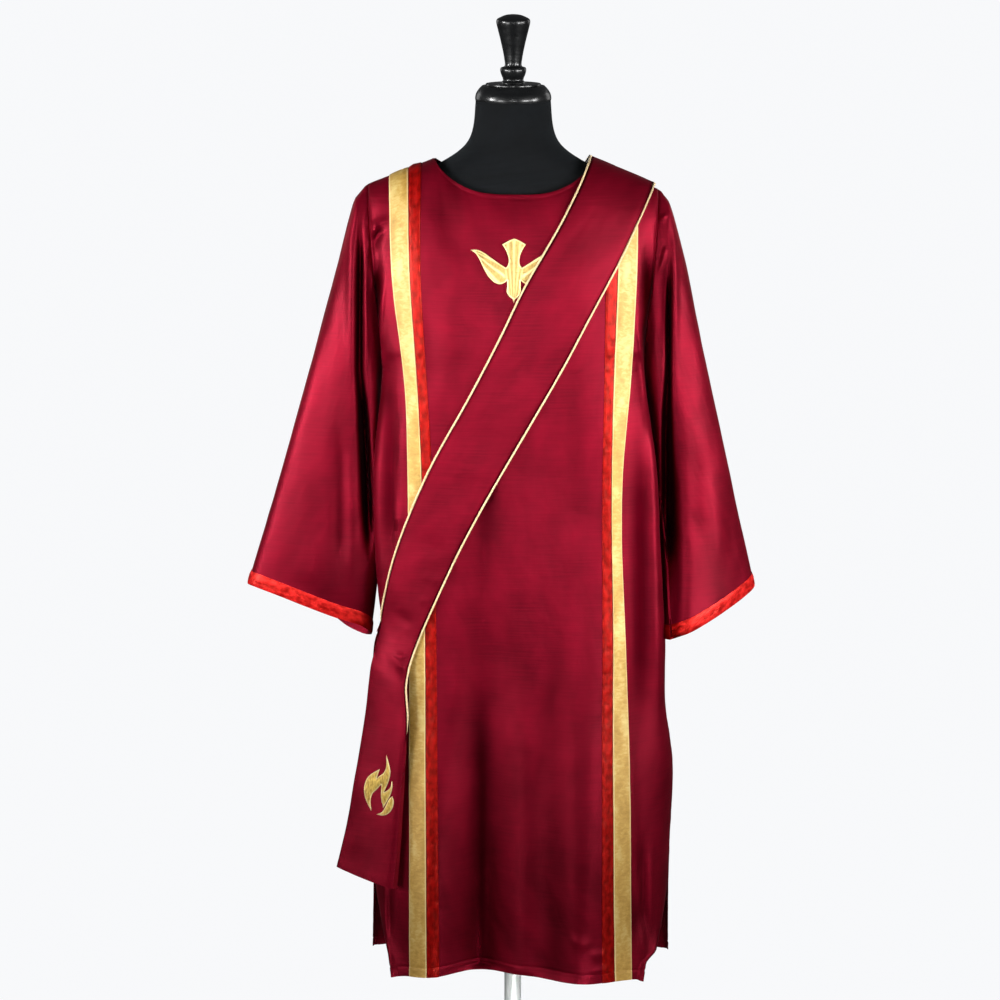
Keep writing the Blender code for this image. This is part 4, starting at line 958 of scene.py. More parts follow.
def ribbon(name, dark, light):
    """Red satin ribbon with woven edges."""
    shader = Shader(name, Specular_Tint=(1, 0.30, 0.22, 1))
    glints = shader.noise((120, 75), detail=2)
    threads = shader.noise((60, 2400), detail=1)
    # painted shade where the cuff's ribbon lies in the sleeve's folds
    shader.paint_fold_shade(shader.ramp(glints, (0.35, dark), (0.65, light)), dark, 0.28)
    shader.set("Roughness", shader.scale_to(glints, 0.32, 0.46))
    shader.bumps((glints, 0.0007), (threads, 0.00008))
    return shader.material


def cord(name, dark, light):
    """Twisted cord: the twist is modelled, and the threads in it are a fine bump."""
    shader = Shader(name, Metallic=0.15, Roughness=0.5, Sheen_Weight=0.2)
    threads = shader.noise((900, 300), detail=2)
    shader.set("Base Color", shader.ramp(threads, (0.3, dark), (0.7, light)))
    shader.bumps((threads, 0.0003))
    return shader.material


def thread(name, dark, light, pale):
    """Satin-stitched rayon thread, with a paler raised rim."""
    shader = Shader(name, Metallic=0.55, Sheen_Weight=0.2)
    stitches = shader.waves((520, 60), "X", 2.0)
    tufts = shader.noise((420, 130), detail=3)
    colour = shader.ramp(tufts, (0.3, dark), (0.7, light))
    shader.set("Base Color", shader.mixed(shader.attribute("rim"), colour, pale))
    shader.set("Roughness", shader.scale_to(tufts, 0.34, 0.52))
    shader.bumps((stitches, 0.00016), (tufts, 0.0003))
    return shader.material


def jersey(name, dark, light):
    """Black knitted cover of the form, a little cloudy."""
    shader = Shader(name, Roughness=0.8, Specular_IOR_Level=0.2, Sheen_Weight=0.04, Sheen_Roughness=0.4,
                    Sheen_Tint=(0.62, 0.75, 0.85, 1))
    ribs = shader.waves((330, 1), "X", 0.6)
    loops = shader.waves((1, 400), "Y", 0.6)
    cloudy = shader.noise((22, 30), detail=3)
    shader.set("Base Color", shader.ramp(cloudy, (0.3, dark), (0.7, light)))
    shader.bumps((cloudy, 0.0012), (ribs, 0.00010), (loops, 0.00010))
    return shader.material


def lacquer(name, dark, light):
    """Black lacquer that has flowed a little unevenly."""
    shader = Shader(name, Specular_IOR_Level=0.5, Coat_Weight=0.25, Coat_Roughness=0.16)
    flow = shader.noise((40, 40, 90), detail=2)
    shader.set("Base Color", shader.ramp(flow, (0.3, dark), (0.7, light)))
    shader.set("Roughness", shader.scale_to(shader.noise((160, 160, 160), detail=4), 0.24, 0.34))
    shader.bumps((flow, 0.0006))
    return shader.material


def chrome(name, dark, light):
    """Bright steel with drawn lines and faint smears."""
    shader = Shader(name, Metallic=0.45)
    lines = shader.noise((900, 900, 12), detail=2)
    smears = shader.noise((9, 9, 14), detail=4, roughness=0.65)
    shader.set("Base Color", shader.ramp(smears, (0.3, dark), (0.7, light)))
    shader.set("Roughness", shader.scale_to(smears, 0.30, 0.44))
    shader.bumps((lines, 0.00004))
    return shader.material


MAROON = satin("maroon_satin", (0.110, 0.0004, 0.0066), (0.220, 0.0020, 0.0145), (1.0, 0.36, 0.43))
GOLD = lame("gold_lame", (0.43, 0.24, 0.042), (0.58, 0.35, 0.078), (0.73, 0.555, 0.20), (0.85, 0.66, 0.32))
RED = ribbon("red_ribbon", (0.19, 0.0010, 0.0009), (0.40, 0.0035, 0.0030))
CUFF_RED = ribbon("red_cuff_ribbon", (0.34, 0.0030, 0.0030), (0.78, 0.0190, 0.0170))
CORD = cord("cream_cord", (0.62, 0.42, 0.19), (0.92, 0.72, 0.42))
DOVE_THREAD = thread("dove_thread", (0.23, 0.135, 0.022), (0.40, 0.27, 0.065), (0.88, 0.72, 0.32))
FLAME_THREAD = thread("flame_thread", (0.42, 0.20, 0.020), (1.0, 0.74, 0.17), (1.0, 0.86, 0.44))
KNIT = jersey("black_knit", (0.0010, 0.0017, 0.0024), (0.0024, 0.0036, 0.0050))
LACQUER = lacquer("black_lacquer", (0.0035, 0.0038, 0.0042), (0.0080, 0.0085, 0.0090))
STEEL = chrome("polished_steel", (0.74, 0.78, 0.76), (0.88, 0.91, 0.89))

# What each kind of strip is made of, its slot, and the height and size of its puckers.
STRIP_KINDS = {"gold": (GOLD, "gold_brocade", 0.00035, 0.016), "red": (RED, "red_satin", 0.0011, 0.0085)}


# ---- building the body ----

def seam_lift(distance):
    """The groove along a seam, with the swell beside it."""
    swell = bump(distance - SEAM_SWELL_PLACE, SEAM_HALF_WIDTH)
    return SEAM_GROOVE * (SEAM_SWELL * swell - bump(distance, SEAM_HALF_WIDTH))


def hem_lift(distance, pucker):
    """A turned-up hem: puffed below its stitching, which draws it in unevenly."""
    inside = soft_step((HEM_DEPTH - distance) / HEM_TURN)
    puff = HEM_PUFF * inside * (0.6 + 0.8 * pucker)
    return puff - STITCH_GROOVE * bump(distance - HEM_DEPTH, STITCH_HALF_WIDTH) * (1 + 0.5 * pucker)


def body_grid(face):
    """The panel's points without creases, with each point's share of the half width."""
    level, rise = row_levels()
    x, share = column_places(face, level)
    drop = (HEM_CORNER_DROP * share ** 2 + HEM_LEAN * share) * (UNDERARM - level) / (UNDERARM - HEM)
    height = rise * neckline_rise(face, x)
    below = rise == 0
    z = np.where(below, level - drop, UNDERARM + (shoulder_height(x) - UNDERARM) * height)
    if face == "front":
        near_corner = soft_step((share - 1 + CORNER_TURN_SHARE) / CORNER_TURN_SHARE)
        x = x - CORNER_TURN * near_corner * soft_step((CORNER_TURN_TOP - z) / CORNER_TURN_FADE)
    depth = stand_off(face, x, z, share, np.where(below, 0, height)) + GAP / 2
    return np.stack([x, FACE_WAY[face] * depth, z], -1), level, below


def body_surface(face):
    """The panel's outer points and normals with its creases, seams and hems, and how much painted shade its
    folds get.
    """
    out, seed = FACE_WAY[face], BODY_SEED[face]
    grid, level, below = body_grid(face)
    x, z = grid[..., 0], grid[..., 2]
    outward = from_middle(x, out)
    normal = grid_normals(grid, outward)

    from_side = np.minimum(lengths(grid, 1), lengths(grid, 1, backward=True))
    from_top = lengths(grid, 0, backward=True)
    over_neck = np.abs(x[-1]) < NECK_HALF_WIDTH
    in_slit = level < SLIT_TOP
    from_seam = np.minimum(np.where(in_slit, FAR, from_side), np.where(over_neck, FAR, from_top))
    loose = soft_step(from_seam / SEAM_HOLD)
    pucker = unevenness(grid, PUCKER_SIZE["body"], seed)
    creased = creases(BODY_CREASES[face], x, z) * loose
    grid[..., 1] += out * creased * soft_step(np.abs(grid[..., 1]) / CREASE_ROOM)

    lift = ripples(grid, BODY_RIPPLES, seed + 10) * loose + seam_lift(from_seam)
    lift += BODY_PUCKER * pucker * bump(from_seam - PUCKER_PLACE, BODY_PUCKER_WIDTH)
    from_hem = level - HEM
    lift += hem_lift(from_hem, pucker) * soft_step((HEM_END - from_hem) / HEM_FADE)
    lift += np.where(in_slit, hem_lift(from_side, pucker) * slit_share(level) * SLIT_HEM, 0.0)
    facing = FACING_RISE * soft_step((NECK_FACING - from_top) / FACING_EDGE)
    facing -= FACING_GROOVE * bump(from_top - NECK_FACING, FACING_GROOVE_WIDTH)
    lift += np.where(over_neck, facing, 0.0)
    grid = grid + normal * lift[..., None]

    normal = grid_normals(grid, outward)
    sides = np.zeros(x.shape, bool)
    sides[:, [0, -1]] = True
    normal[sides & ~in_slit & below, 1] = 0
    normal[sides & ~below, 0] = 0
    normal[-1, ~over_neck] = (0, 0, 1)
    return grid, unit(normal), painted_fold_shade(creased)


def between_columns(values, first, last, places):
    """Values of a grid at shares of the way between two of its columns."""
    at = first + (last - first) * places
    low = np.clip(at.astype(int), first, last - 1)
    return mix(values[:, low], values[:, low + 1], (at - low)[None, :, None])


def stitched(middle, edge, depth, place, width):
    """A ribbon's thickness: rounded off at its edges and drawn in along its stitching."""
    return TRIM * rounded_off(middle, edge, LEAST_EDGE) * (1 - depth * bump(middle - place, width))


def lay_strip(name, node, kind, grid, normal, first, last, seed):
    """A ribbon on a panel, stitched down near both edges, with puckers between the stitches."""
    material, slot_name, pucker_height, pucker_size = STRIP_KINDS[kind]
    points, ways = (between_columns(values, first, last, STRIP_PLACES) for values in (grid, normal))
    ways = unit(ways)
    inset = unit(points[:, -1] - points[:, 0]) * GAP
    points = points + inset[:, None] * (1 - 2 * STRIP_PLACES)[:, None]
    middle = from_edges(STRIP_PLACES)
    lumps = puckers(points, pucker_size, STRIP_PUCKER_FLOOR, seed)
    thick = stitched(middle, *STRIP_SEWING) + pucker_height * lumps * soft_step(middle / STRIP_FLAT)
    outer = points + ways * (GAP + thick)[..., None]
    piece = wall(name, outer, points + ways * GAP, flat_map(points), material)
    # the painted highlight near both edges, which the gold lamé shows
    mark(piece, "edge", np.broadcast_to(bump(middle - STRIP_PAINTED_HIGHLIGHT_PLACE, STRIP_PAINTED_HIGHLIGHT_WIDTH), thick.shape))
    return stand_for(piece, slot_name, node)


def build_body(face):
    grid, normal, painted_shade = body_surface(face)
    panel = wall("satin_" + face, grid, grid - normal * CLOTH, flat_map(grid, level=True), MAROON)
    # painted shade in the bottoms of the panel's creases
    mark(panel, "fold", painted_shade)
    stand_for(panel, "maroon_satin", *(cut + face for cut in ("side_left_", "centre_", "side_right_")))
    strips = [lay_strip(f"{kind}_ribbon_{side}_{face}", f"{kind}_band_{side}_{face}", kind, grid, normal,
                        first, last, STRIP_SEED + index)
              for index, (kind, side, first, last) in enumerate(STRIPS)]
    return panel, strips, grid, normal


# ---- the sleeves ----

def armhole_ring(out, angle):
    rise = np.sin(angle / 2) ** 2
    x = column_places("front", mix(UNDERARM, SHOULDER_TIP, rise)[:, None])[0][:, -1 if out > 0 else 0]
    z = UNDERARM + (shoulder_height(x) - UNDERARM) * rise
    return np.stack([x + out * GAP, -np.sin(angle) * ARMHOLE_DEPTH, z], -1)


def sleeve_ring(row, out, angle):
    turn = math.radians(row["turn"])
    middle_x = (row["outer_x"] + row["inner_x"]) / 2
    outer, inner = (np.array((x, (x - middle_x) * math.tan(turn), z))
                    for x, z in ((row["outer_x"], row["outer_z"]), (row["inner_x"], row["inner_z"])))
    forward = np.array((math.sin(turn), -math.cos(turn), 0))
    fullness = np.where(angle < np.pi, row["front"], row["back"]) * np.sign(np.sin(angle))
    ring = (mix(inner, outer, ((1 - np.cos(angle)) / 2)[:, None])
            + forward * (fullness * np.abs(np.sin(angle)) ** SLEEVE_FLATNESS)[:, None])
    return ring * (out, 1, 1)


def sleeve_grid(side, angle):
    """The sleeve's points from the armhole to the cuff's rim, before its creases."""
    out = SIDE_WAY[side]
    rows = [dict(zip(SLEEVE_COLUMNS, row)) for row in SLEEVES[side]]
    rings = np.stack([armhole_ring(out, angle)] + [sleeve_ring(row, out, angle) for row in rows])
    cuff_start = len(rows) - 1
    places = np.concatenate([np.linspace(0, SETTING_END, SETTING_ROWS, endpoint=False),
                             np.linspace(SETTING_END, cuff_start, SLEEVE_ROWS, endpoint=False),
                             np.linspace(cuff_start, len(rows), CUFF_ROWS + 1)])
    grid = curve(np.arange(len(rings)), rings, places)
    first_stretch = places < 1
    grid[first_stretch] = mix(rings[0], rings[1], places[first_stretch][:, None, None])
    near_cuff = soft_step((places - (len(rows) - CUFF_RIM_ROWS)) / (CUFF_RIM_ROWS - 1))[:, None]
    turns, lifts = np.array(CUFF_RIMS[side]).T
    grid[..., 2] += near_cuff * curve(np.radians(turns), lifts, angle)
    return grid


def build_sleeve(side):
    angle = np.arange(AROUND) * math.tau / AROUND
    from_underarm = np.minimum(angle, math.tau - angle)
    forward = np.sin(angle)
    grid = sleeve_grid(side, angle)
    outward = grid - grid.mean(1, keepdims=True)
    normal = grid_normals(grid, outward, around=True)
    normal[0] = unit(outward[0] * (0, 1, 1))

    seed = SLEEVE_SEED[side]
    from_seam = lengths(grid, 0)
    pucker = unevenness(grid, PUCKER_SIZE["sleeve"], seed)
    x, z = grid[..., 0], grid[..., 2]
    settled = soft_step(from_seam / SLEEVE_HOLD)
    front, back = (creases(SLEEVE_CREASES[side, face], x, z) * soft_step(-out * forward / SIDE_FADE)
                   for face, out in FACE_WAY.items())
    grid[..., 1] += (back - front) * settled
    lift = ripples(grid, SLEEVE_RIPPLES, seed + 10) * settled + seam_lift(from_seam)
    lift += SLEEVE_PUCKER * pucker * bump(from_seam - PUCKER_PLACE, SLEEVE_PUCKER_WIDTH)
    lift += UNDER_SEAM * seam_lift(from_underarm * ARM_RADIUS) * soft_step(from_seam / UNDER_SEAM_FADE)
    grid = grid + normal * lift[..., None]

    normal = grid_normals(grid, outward, around=True)
    normal[0] = unit(normal[0] * (0, 1, 1))
    mapped = flat_map(grid, around=True, level=True)
    sleeve = wall("satin_sleeve_" + side, grid, grid - normal * CLOTH, mapped, MAROON, around=True)
    # painted shade: in the creases' bottoms, and along the under edge where the sleeve turns towards the
    # body
    painted_shade = np.maximum(painted_fold_shade(front + back), UNDER_EDGE_PAINTED_SHADE * bump(from_underarm, UNDER_EDGE_SHADE_REACH))
    mark(sleeve, "fold", painted_shade)
    stand_for(sleeve, "maroon_satin", "sleeve_" + side)
    cuff_rows = slice(-CUFF_ROWS - 1, None)
    return sleeve, build_cuff(side, grid[cuff_rows], normal[cuff_rows], painted_shade[cuff_rows], seed)


def build_cuff(side, points, ways, painted_shade, seed):
    """The ribbon round a cuff, on the sleeve's own points."""
    middle = from_edges(np.linspace(0, 1, CUFF_ROWS + 1)[:, None])
    lumps = sum(puckers(points * (1, 1, upward), size, CUFF_PUCKER_FLOOR, seed + kind)
                for kind, size, upward in CUFF_PUCKERS)
    thick = (stitched(middle, *CUFF_SEWING)
             + CUFF_PUCKER * lumps * soft_step((middle - CUFF_FLAT_EDGE) / CUFF_PUCKER_FADE))
    band = wall("red_ribbon_cuff_" + side, points + ways * (GAP + thick)[..., None], points + ways * GAP,
                flat_map(points, around=True)[..., ::-1], CUFF_RED, around=True)
    # the cuff's ribbon gets the same painted shade as the sleeve under it
    mark(band, "fold", painted_shade)
    return stand_for(band, "red_satin", "cuff_band_" + side)


# ---- the stole ----

def stole_surface(face):
    """The stole's under side and normals, from the shoulder seam to its hanging end."""
    out, seed = FACE_WAY[face], STOLE_SEED[face]
    table = np.array(STOLE_ACROSS + STOLE_ENDS[face])
    last = len(table) - 1
    even = np.linspace(0, 1, STOLE_ROWS + 1)
    along = last * mix(even ** STOLE_CROWDING, even, even)
    at = dict(zip(STOLE_COLUMNS, curve(np.arange(last + 1), table, along).T[:, :, None]))
    free = np.clip(at["free"], 0, 1)
    x, z = mix(at["neck_x"], at["arm_x"], STOLE_PLACES), mix(at["neck_z"], at["arm_z"], STOLE_PLACES)
    z = np.minimum(z, shoulder_height(x))
    z[0] = shoulder_height(x[0])
    depth = cloth_depth(face, x, z)
    depth = np.where(z < UNDERARM, np.maximum(depth, STOLE_TOUCH), depth)
    depth[0] = GAP / 2
    bow = 4 * STOLE_BOW * STOLE_PLACES * (1 - STOLE_PLACES)
    hanging = mix(at["neck_y"], at["arm_y"], STOLE_PLACES) + bow
    grid = np.stack([x, out * mix(depth, hanging, free), z], -1)
    outward = from_middle(x, out)
    normal = grid_normals(grid, outward)
    normal[0] = unit(np.array((SHOULDER_SLOPE + SHOULDER_LEAN, 0, 1)))
    settled = soft_step(lengths(grid, 0) / STOLE_HOLD)
    lift = creases(STOLE_CREASES[face], x, z) + ripples(grid, STOLE_RIPPLES, seed)
    rolled = np.clip((STOLE_PLACES - 1 + TAIL_ROLL_SHARE) / TAIL_ROLL_SHARE, 0, 1) ** 2
    tail = soft_step((along[:, None] - TAIL_ROLL_START) / TAIL_ROLL_FADE)
    lift = lift * settled - TAIL_ROLL * rolled * tail
    grid = grid + normal * (STOLE_LIFT + lift)[..., None]
    turned = grid_normals(grid, outward)
    turned[0] = normal[0]
    return grid, turned, along


def build_stole(face):
    grid, normal, along = stole_surface(face)
    middle = from_edges(STOLE_PLACES)
    from_end = lengths(grid, 0, backward=True)
    hem = STOLE_HEM * hem_lift(from_end, unevenness(grid, STOLE_HEM_PUCKER, STOLE_HEM_SEED))
    stitch = STOLE_STITCH * bump(middle - STOLE_STITCH_PLACE, STOLE_STITCH_WIDTH)
    plain = STOLE_WALL * rounded_off(middle, STOLE_ROUNDING, STOLE_LEAST_EDGE)
    thick = plain - stitch + hem * (from_end < HEM_END)
    outer = grid + normal * thick[..., None]
    piece = wall("satin_stole_" + face, outer, grid, flat_map(grid, level=True), MAROON)
    # painted shade in a thin line beside each piping, as far down as it is sewn on
    last_sewn = np.where(STOLE_PLACES < 0.5, PIPING_LAST["neck"], PIPING_LAST["arm"])
    mark(piece, "fold", soft_step(1 - middle / PIPING_PAINTED_SHADE) * (along[:, None] <= last_sewn))
    stand_for(piece, "maroon_satin", "stole_" + face, f"stole_{face}_end")
    centre = grid + normal * (0.5 * STOLE_WALL)
    pipings = []
    for label, column, beside in (("neck", 0, 2), ("arm", -1, -3)):
        kept = along <= PIPING_LAST[label]
        edge, ways = centre[kept, column], normal[kept, column]
        side = unit(np.cross(np.gradient(edge, axis=0), ways))
        side *= np.sign(((edge - centre[kept, beside]) * side).sum(-1, keepdims=True))
        path = edge + side * (PIPING_RADIUS + PIPING_CLEARANCE)
        steps = np.linalg.norm(np.gradient(path, axis=0), axis=-1)
        to_go = lengths(path[:, None], 0)[-1] - np.cumsum(steps)
        behind = soft_step(1 - to_go / PIPING_TUCK)
        path -= (side * PIPING_TUCK_ASIDE + ways * PIPING_TUCK_DEPTH) * behind[:, None]
        piping = twist_cord(f"piping_cord_{face}_{label}", path, ways, behind)
        pipings.append(stand_for(piping, "gold_cord", f"piping_{face}_{label}"))
    return piece, pipings, outer, normal


def twist_cord(name, path, ways, behind):
    """A two-ply cord along a path, tapered where it goes behind the edge."""
    distance = lengths(path[:, None], 0)[:, 0]
    at = np.linspace(0, distance[-1], int(distance[-1] / PIPING_STEP))
    line, up = (np.stack([np.interp(at, distance, values[:, axis]) for axis in range(3)], -1)
                for values in (path, ways))
    run = unit(np.gradient(line, axis=0))
    up = unit(up - run * (up * run).sum(-1, keepdims=True))
    side = np.cross(run, up)
    turn = np.arange(PIPING_SIDES) * math.tau / PIPING_SIDES
    strand = np.abs(np.sin(turn + at[:, None] * math.pi / PIPING_PITCH))
    taper = 1 - 0.5 * np.interp(at, distance, behind)
    radius = PIPING_RADIUS * (PIPING_CORE + PIPING_STRAND * strand) * taper[:, None]
    rings = line[:, None] + radius[..., None] * (side[:, None] * np.cos(turn)[:, None]
                                                 + up[:, None] * np.sin(turn)[:, None])
    rings[0, :, 1] = line[0, 1]
    return loft(name, rings, CORD)


# ---- embroidery ----

def smooth_outline(points):
    """A closed outline as a curve, with its corners kept.  It starts at a corner."""
    line, run = [], [points[0]]
    for point in [*points[1:], points[0]]:
        run.append(point)
        if point[2]:
            places = np.array([spot[:2] for spot in run])
            keys = np.concatenate([[0], np.cumsum(np.linalg.norm(np.diff(places, axis=0), axis=1))])
            count = max(int(keys[-1] / OUTLINE_STEP), 2)
            line += curve(keys, places, np.linspace(0, keys[-1], count, endpoint=False)).tolist()
            run = [point]
    return np.array(line)


def distance_to(outline, places):
    """Distance from places to a closed outline."""
    start, run = outline[None], (np.roll(outline, -1, 0) - outline)[None]
    share = ((places[:, None] - start) * run).sum(-1) / (run ** 2).sum(-1)
    near = start + np.clip(share, 0, 1)[..., None] * run
    return np.linalg.norm(places[:, None] - near, axis=-1).min(1)


def cut_patch(outline):
    """A flat mesh of small triangles within an outline."""
    flat = bmesh.new()
    flat.faces.new([flat.verts.new((x, 0, z)) for x, z in outline])
    for way in (Vector((1, 0, 0)), Vector((0, 0, 1))):
        reach = [vert.co @ way for vert in flat.verts]
        for cut in np.arange(min(reach) + PATCH_CELL / 2, max(reach), PATCH_CELL):
            bmesh.ops.bisect_plane(flat, geom=flat.verts[:] + flat.edges[:] + flat.faces[:],
                                   plane_co=way * cut, plane_no=way)
    bmesh.ops.triangulate(flat, faces=flat.faces[:])
    flat.verts.index_update()
    return flat


def embroider(node, outlines, relief, place, material):
    """Stitched shapes that follow the cloth, each a thin closed piece with a raised rim."""
    points, faces, rims, mapped = [], [], [], []
    for outline in outlines:
        flat = cut_patch(outline)
        spots = np.array([(vert.co.x, vert.co.z) for vert in flat.verts])
        height, rim = relief(spots, distance_to(outline, spots))
        ground, ways = place(spots)
        start, count = len(points), len(spots)
        points += (ground + ways * PATCH_LIFT).tolist()
        points += (ground + ways * (PATCH_LIFT + height)[:, None]).tolist()
        rims += [0.0] * count + rim.tolist()
        mapped += np.tile(spots, (2, 1)).tolist()
        for face in flat.faces:
            corners = [start + vert.index for vert in face.verts]
            faces += [corners, [count + corner for corner in reversed(corners)]]
        for edge in flat.edges:
            if edge.is_boundary:
                loop = edge.link_loops[0]
                a, b = start + loop.vert.index, start + loop.link_loop_next.vert.index
                faces.append([b, a, count + a, count + b])
        flat.free()
    mapped = np.array(mapped)
    corners = np.concatenate([mapped[face] for face in faces])
    piece = mesh_piece(node + "_embroidery", points, faces, corners, material, sharp=60)
    work = bmesh.new()
    work.from_mesh(piece.data)
    bmesh.ops.recalc_face_normals(work, faces=work.faces[:])
    work.to_mesh(piece.data)
    work.free()
    keep_values(piece, "rim", rims)
    return stand_for(piece, "gold_embroidery", node)


def stitched_rim(inward, width, height):
    """A rounded row of satin stitch along the outline, and where it lies."""
    across = np.clip(inward / width, 0, 1)
    return height * np.sqrt(1 - (2 * across - 1) ** 2), 1 - soft_step((across - 0.75) / 0.25)


def dove_relief(spots, inward):
    """A raised rim, feathers that run to the wing tips, and barbs down the body and the tail."""
    ridge, rim = stitched_rim(inward, 0.0024, 0.0010)
    x, z = np.abs(spots[:, 0]), spots[:, 1]
    feathers = np.abs(np.cos(np.arctan2(WING_TIP[1] - z, WING_TIP[0] - x) * FEATHERS)) ** 5
    barbs = np.abs(np.cos(np.arctan2(x, z + BARBS_BELOW) * BARBS)) ** 3
    lines = mix(0.55 * barbs, feathers, soft_step((x - 0.010) / 0.007)) * (1 - rim)
    rise = np.maximum(ridge, 0.0002 * (1 - rim) + 0.0006 * lines)
    return 0.0003 + rise, np.maximum(rim, 0.75 * lines)


def flame_relief(spots, inward):
    """A raised rim round a domed middle."""
    ridge, rim = stitched_rim(inward, 0.0015, 0.0007)
    dome = 0.0014 * np.clip(inward / 0.005, 0, 1)
    return 0.0004 + np.maximum(ridge, dome), 0.8 * rim


def build_dove(grid, normal):
    """The dove lies on the chest, on the front panel's own points."""
    heights = grid[:, grid.shape[1] // 2, 2]
    rows = np.nonzero(np.abs(heights - DOVE_MIDDLE) < DOVE_ROOM)[0]
    chest = slice(rows[0], rows[-1] + 1), slice(CENTRE, RIGHT_RED + 1)
    part, ways = grid[chest], normal[chest]

    def on_chest(spots):
        found = []
        for x, z in spots + (DOVE_AXIS, DOVE_MIDDLE):
            row = int(np.clip(np.searchsorted(part[:, 0, 2], z) - 1, 0, len(part) - 2))
            column = int(np.clip(np.searchsorted(part[row, :, 0], x) - 1, 0, part.shape[1] - 2))
            low, high = part[row, column], part[row + 1, column + 1]
            across, up = (x - low[0]) / (high[0] - low[0]), (z - low[2]) / (high[2] - low[2])
            found.append([within_cell(values, row, column, up, across) for values in (part, ways)])
        places, turns = np.array(found).transpose(1, 0, 2)
        return places, unit(turns)

    other_half = [(-x, z, corner) for x, z, corner in reversed(DOVE_HALF[1:-1])]
    outline = smooth_outline([*DOVE_HALF, *other_half])
    return embroider("dove", [outline], dove_relief, on_chest, DOVE_THREAD)


def within_cell(values, row, column, up, across):
    """Values of a grid at shares of the way through one of its cells, or through many."""
    bottom = mix(values[row, column], values[row, column + 1], across)
    return mix(bottom, mix(values[row + 1, column], values[row + 1, column + 1], across), up)


def build_flame(outer, normal):
    """The flame lies on the stole's front end, measured up from its lower edge."""
    heights = lengths(outer, 0, backward=True)[:, outer.shape[1] // 2]
    level = np.argmin(np.abs(heights - FLAME_MIDDLE))
    width = np.linalg.norm(outer[level, -1] - outer[level, 0])

    def on_end(spots):
        across_at = FLAME_ACROSS + FLAME_WIDE * spots[:, 0] / width
        row_at = np.interp(-(FLAME_MIDDLE + spots[:, 1]), -heights, np.arange(len(heights)))
        column_at = np.interp(across_at, STOLE_PLACES, np.arange(len(STOLE_PLACES)))
        row, column = row_at.astype(int), column_at.astype(int)
        cell = row, column, (row_at - row)[:, None], (column_at - column)[:, None]
        ways = within_cell(normal, *cell)
        return within_cell(outer, *cell) - ways * (PATCH_LIFT - GAP), unit(ways)

    outlines = [smooth_outline(tongue) for tongue in FLAME_TONGUES]
    return embroider("flame", outlines, flame_relief, on_end, FLAME_THREAD)


# ---- the dress form ----

def turned_rings(half_width, front, back, height):
    """Level rings of points at some heights, with their reaches to the sides, the front and the back."""
    angle = np.arange(TURNED_SEGMENTS) * math.tau / TURNED_SEGMENTS
    half_width, front, back, height = (values[:, None] for values in (half_width, front, back, height))
    deep = np.where(np.sin(angle) < 0, front, back)
    height = np.broadcast_to(height, deep.shape)
    return np.stack([half_width * np.cos(angle), deep * np.sin(angle), height], -1)


def build_torso():
    table = read_table(TORSO_COLUMNS, TORSO)
    height = np.linspace(TORSO[0][0], TORSO[-1][0], TORSO_ROWS)
    sizes = [curve(table["height"], table[name], height) for name in TORSO_COLUMNS[1:]]
    stand_for(loft("knit_torso", turned_rings(*sizes, height), KNIT), "black_jersey", "form_torso")


def turned(name, bottom, profile, material, slot_name, node):
    """A turned solid from a profile of radii and heights over its bottom."""
    radius, height = np.array(profile, float).T
    rings = turned_rings(radius, radius, radius, bottom + height)
    stand_for(loft(name, rings, material, sharp=35), slot_name, node)


def rounded(profile):
    """A profile whose inner corners are rounded off."""
    points = [Vector(point) for point in profile]
    made = [profile[0]]
    for before, corner, after in zip(points, points[1:], points[2:]):
        back, on = before - corner, after - corner
        cut = min(TURNED_ROUNDING, back.length / 2, on.length / 2)
        start, end = corner + back.normalized() * cut, corner + on.normalized() * cut
        for step in range(ROUNDING_STEPS + 1):
            share = step / ROUNDING_STEPS
            made.append(start.lerp(corner, share).lerp(corner.lerp(end, share), share)[:])
    return made + [profile[-1]]


def smoothed(profile, count):
    """A profile as a smooth curve of some number of points."""
    profile = np.array(profile)
    keys = np.concatenate([[0], np.cumsum(np.linalg.norm(np.diff(profile, axis=0), axis=1))])
    return curve(keys, profile, np.linspace(0, keys[-1], count))


def build_stand():
    cap_bottom = TORSO[-1][0] + GAP
    plate_bottom = cap_bottom + CAP_PROFILE[-1][1] + GAP
    finial_bottom = plate_bottom + PLATE_THICKNESS + GAP
    plate = ((PLATE_RADIUS - PLATE_FLAT, 0), (PLATE_RADIUS, 0), (PLATE_RADIUS, PLATE_THICKNESS),
             (PLATE_TOP_RADIUS, PLATE_THICKNESS))
    for name, bottom, profile, node in (
            ("cap", cap_bottom, smoothed(CAP_PROFILE, CAP_ROWS), "neck_cap"),
            ("plate", plate_bottom, rounded(plate), "neck_plate"),
            ("finial", finial_bottom, smoothed(FINIAL_PROFILE, FINIAL_ROWS), "finial")):
        turned("lacquered_" + name, bottom, profile, LACQUER, "black_lacquer", node)
    base = ((BASE_RADIUS, 0), (BASE_RADIUS, BASE_THICKNESS - BASE_EDGE),
            (BASE_RADIUS - BASE_EDGE, BASE_THICKNESS), (BOSS_RADIUS + BASE_EDGE, BASE_THICKNESS),
            (BOSS_RADIUS, BASE_THICKNESS + BASE_EDGE),
            (BOSS_RADIUS, BOSS_HEIGHT - BASE_EDGE), (BOSS_RADIUS - BASE_EDGE, BOSS_HEIGHT))
    pole = ((POLE_RADIUS, 0), (POLE_RADIUS, TORSO[0][0] - GAP - BOSS_HEIGHT - GAP))
    turned("steel_base", 0.0, rounded(base), STEEL, "chrome", "base")
    turned("steel_pole", BOSS_HEIGHT + GAP, pole, STEEL, "chrome", "pole")


# ---- the whole ----

front, front_strips, front_grid, front_normal = build_body("front")
back, back_strips, _, _ = build_body("back")
sleeves = {side: build_sleeve(side) for side in SIDE_WAY}
stoles = {face: build_stole(face) for face in FACE_WAY}
dove = build_dove(front_grid, front_normal)
flame = build_flame(*stoles["front"][2:])
build_torso()
build_stand()
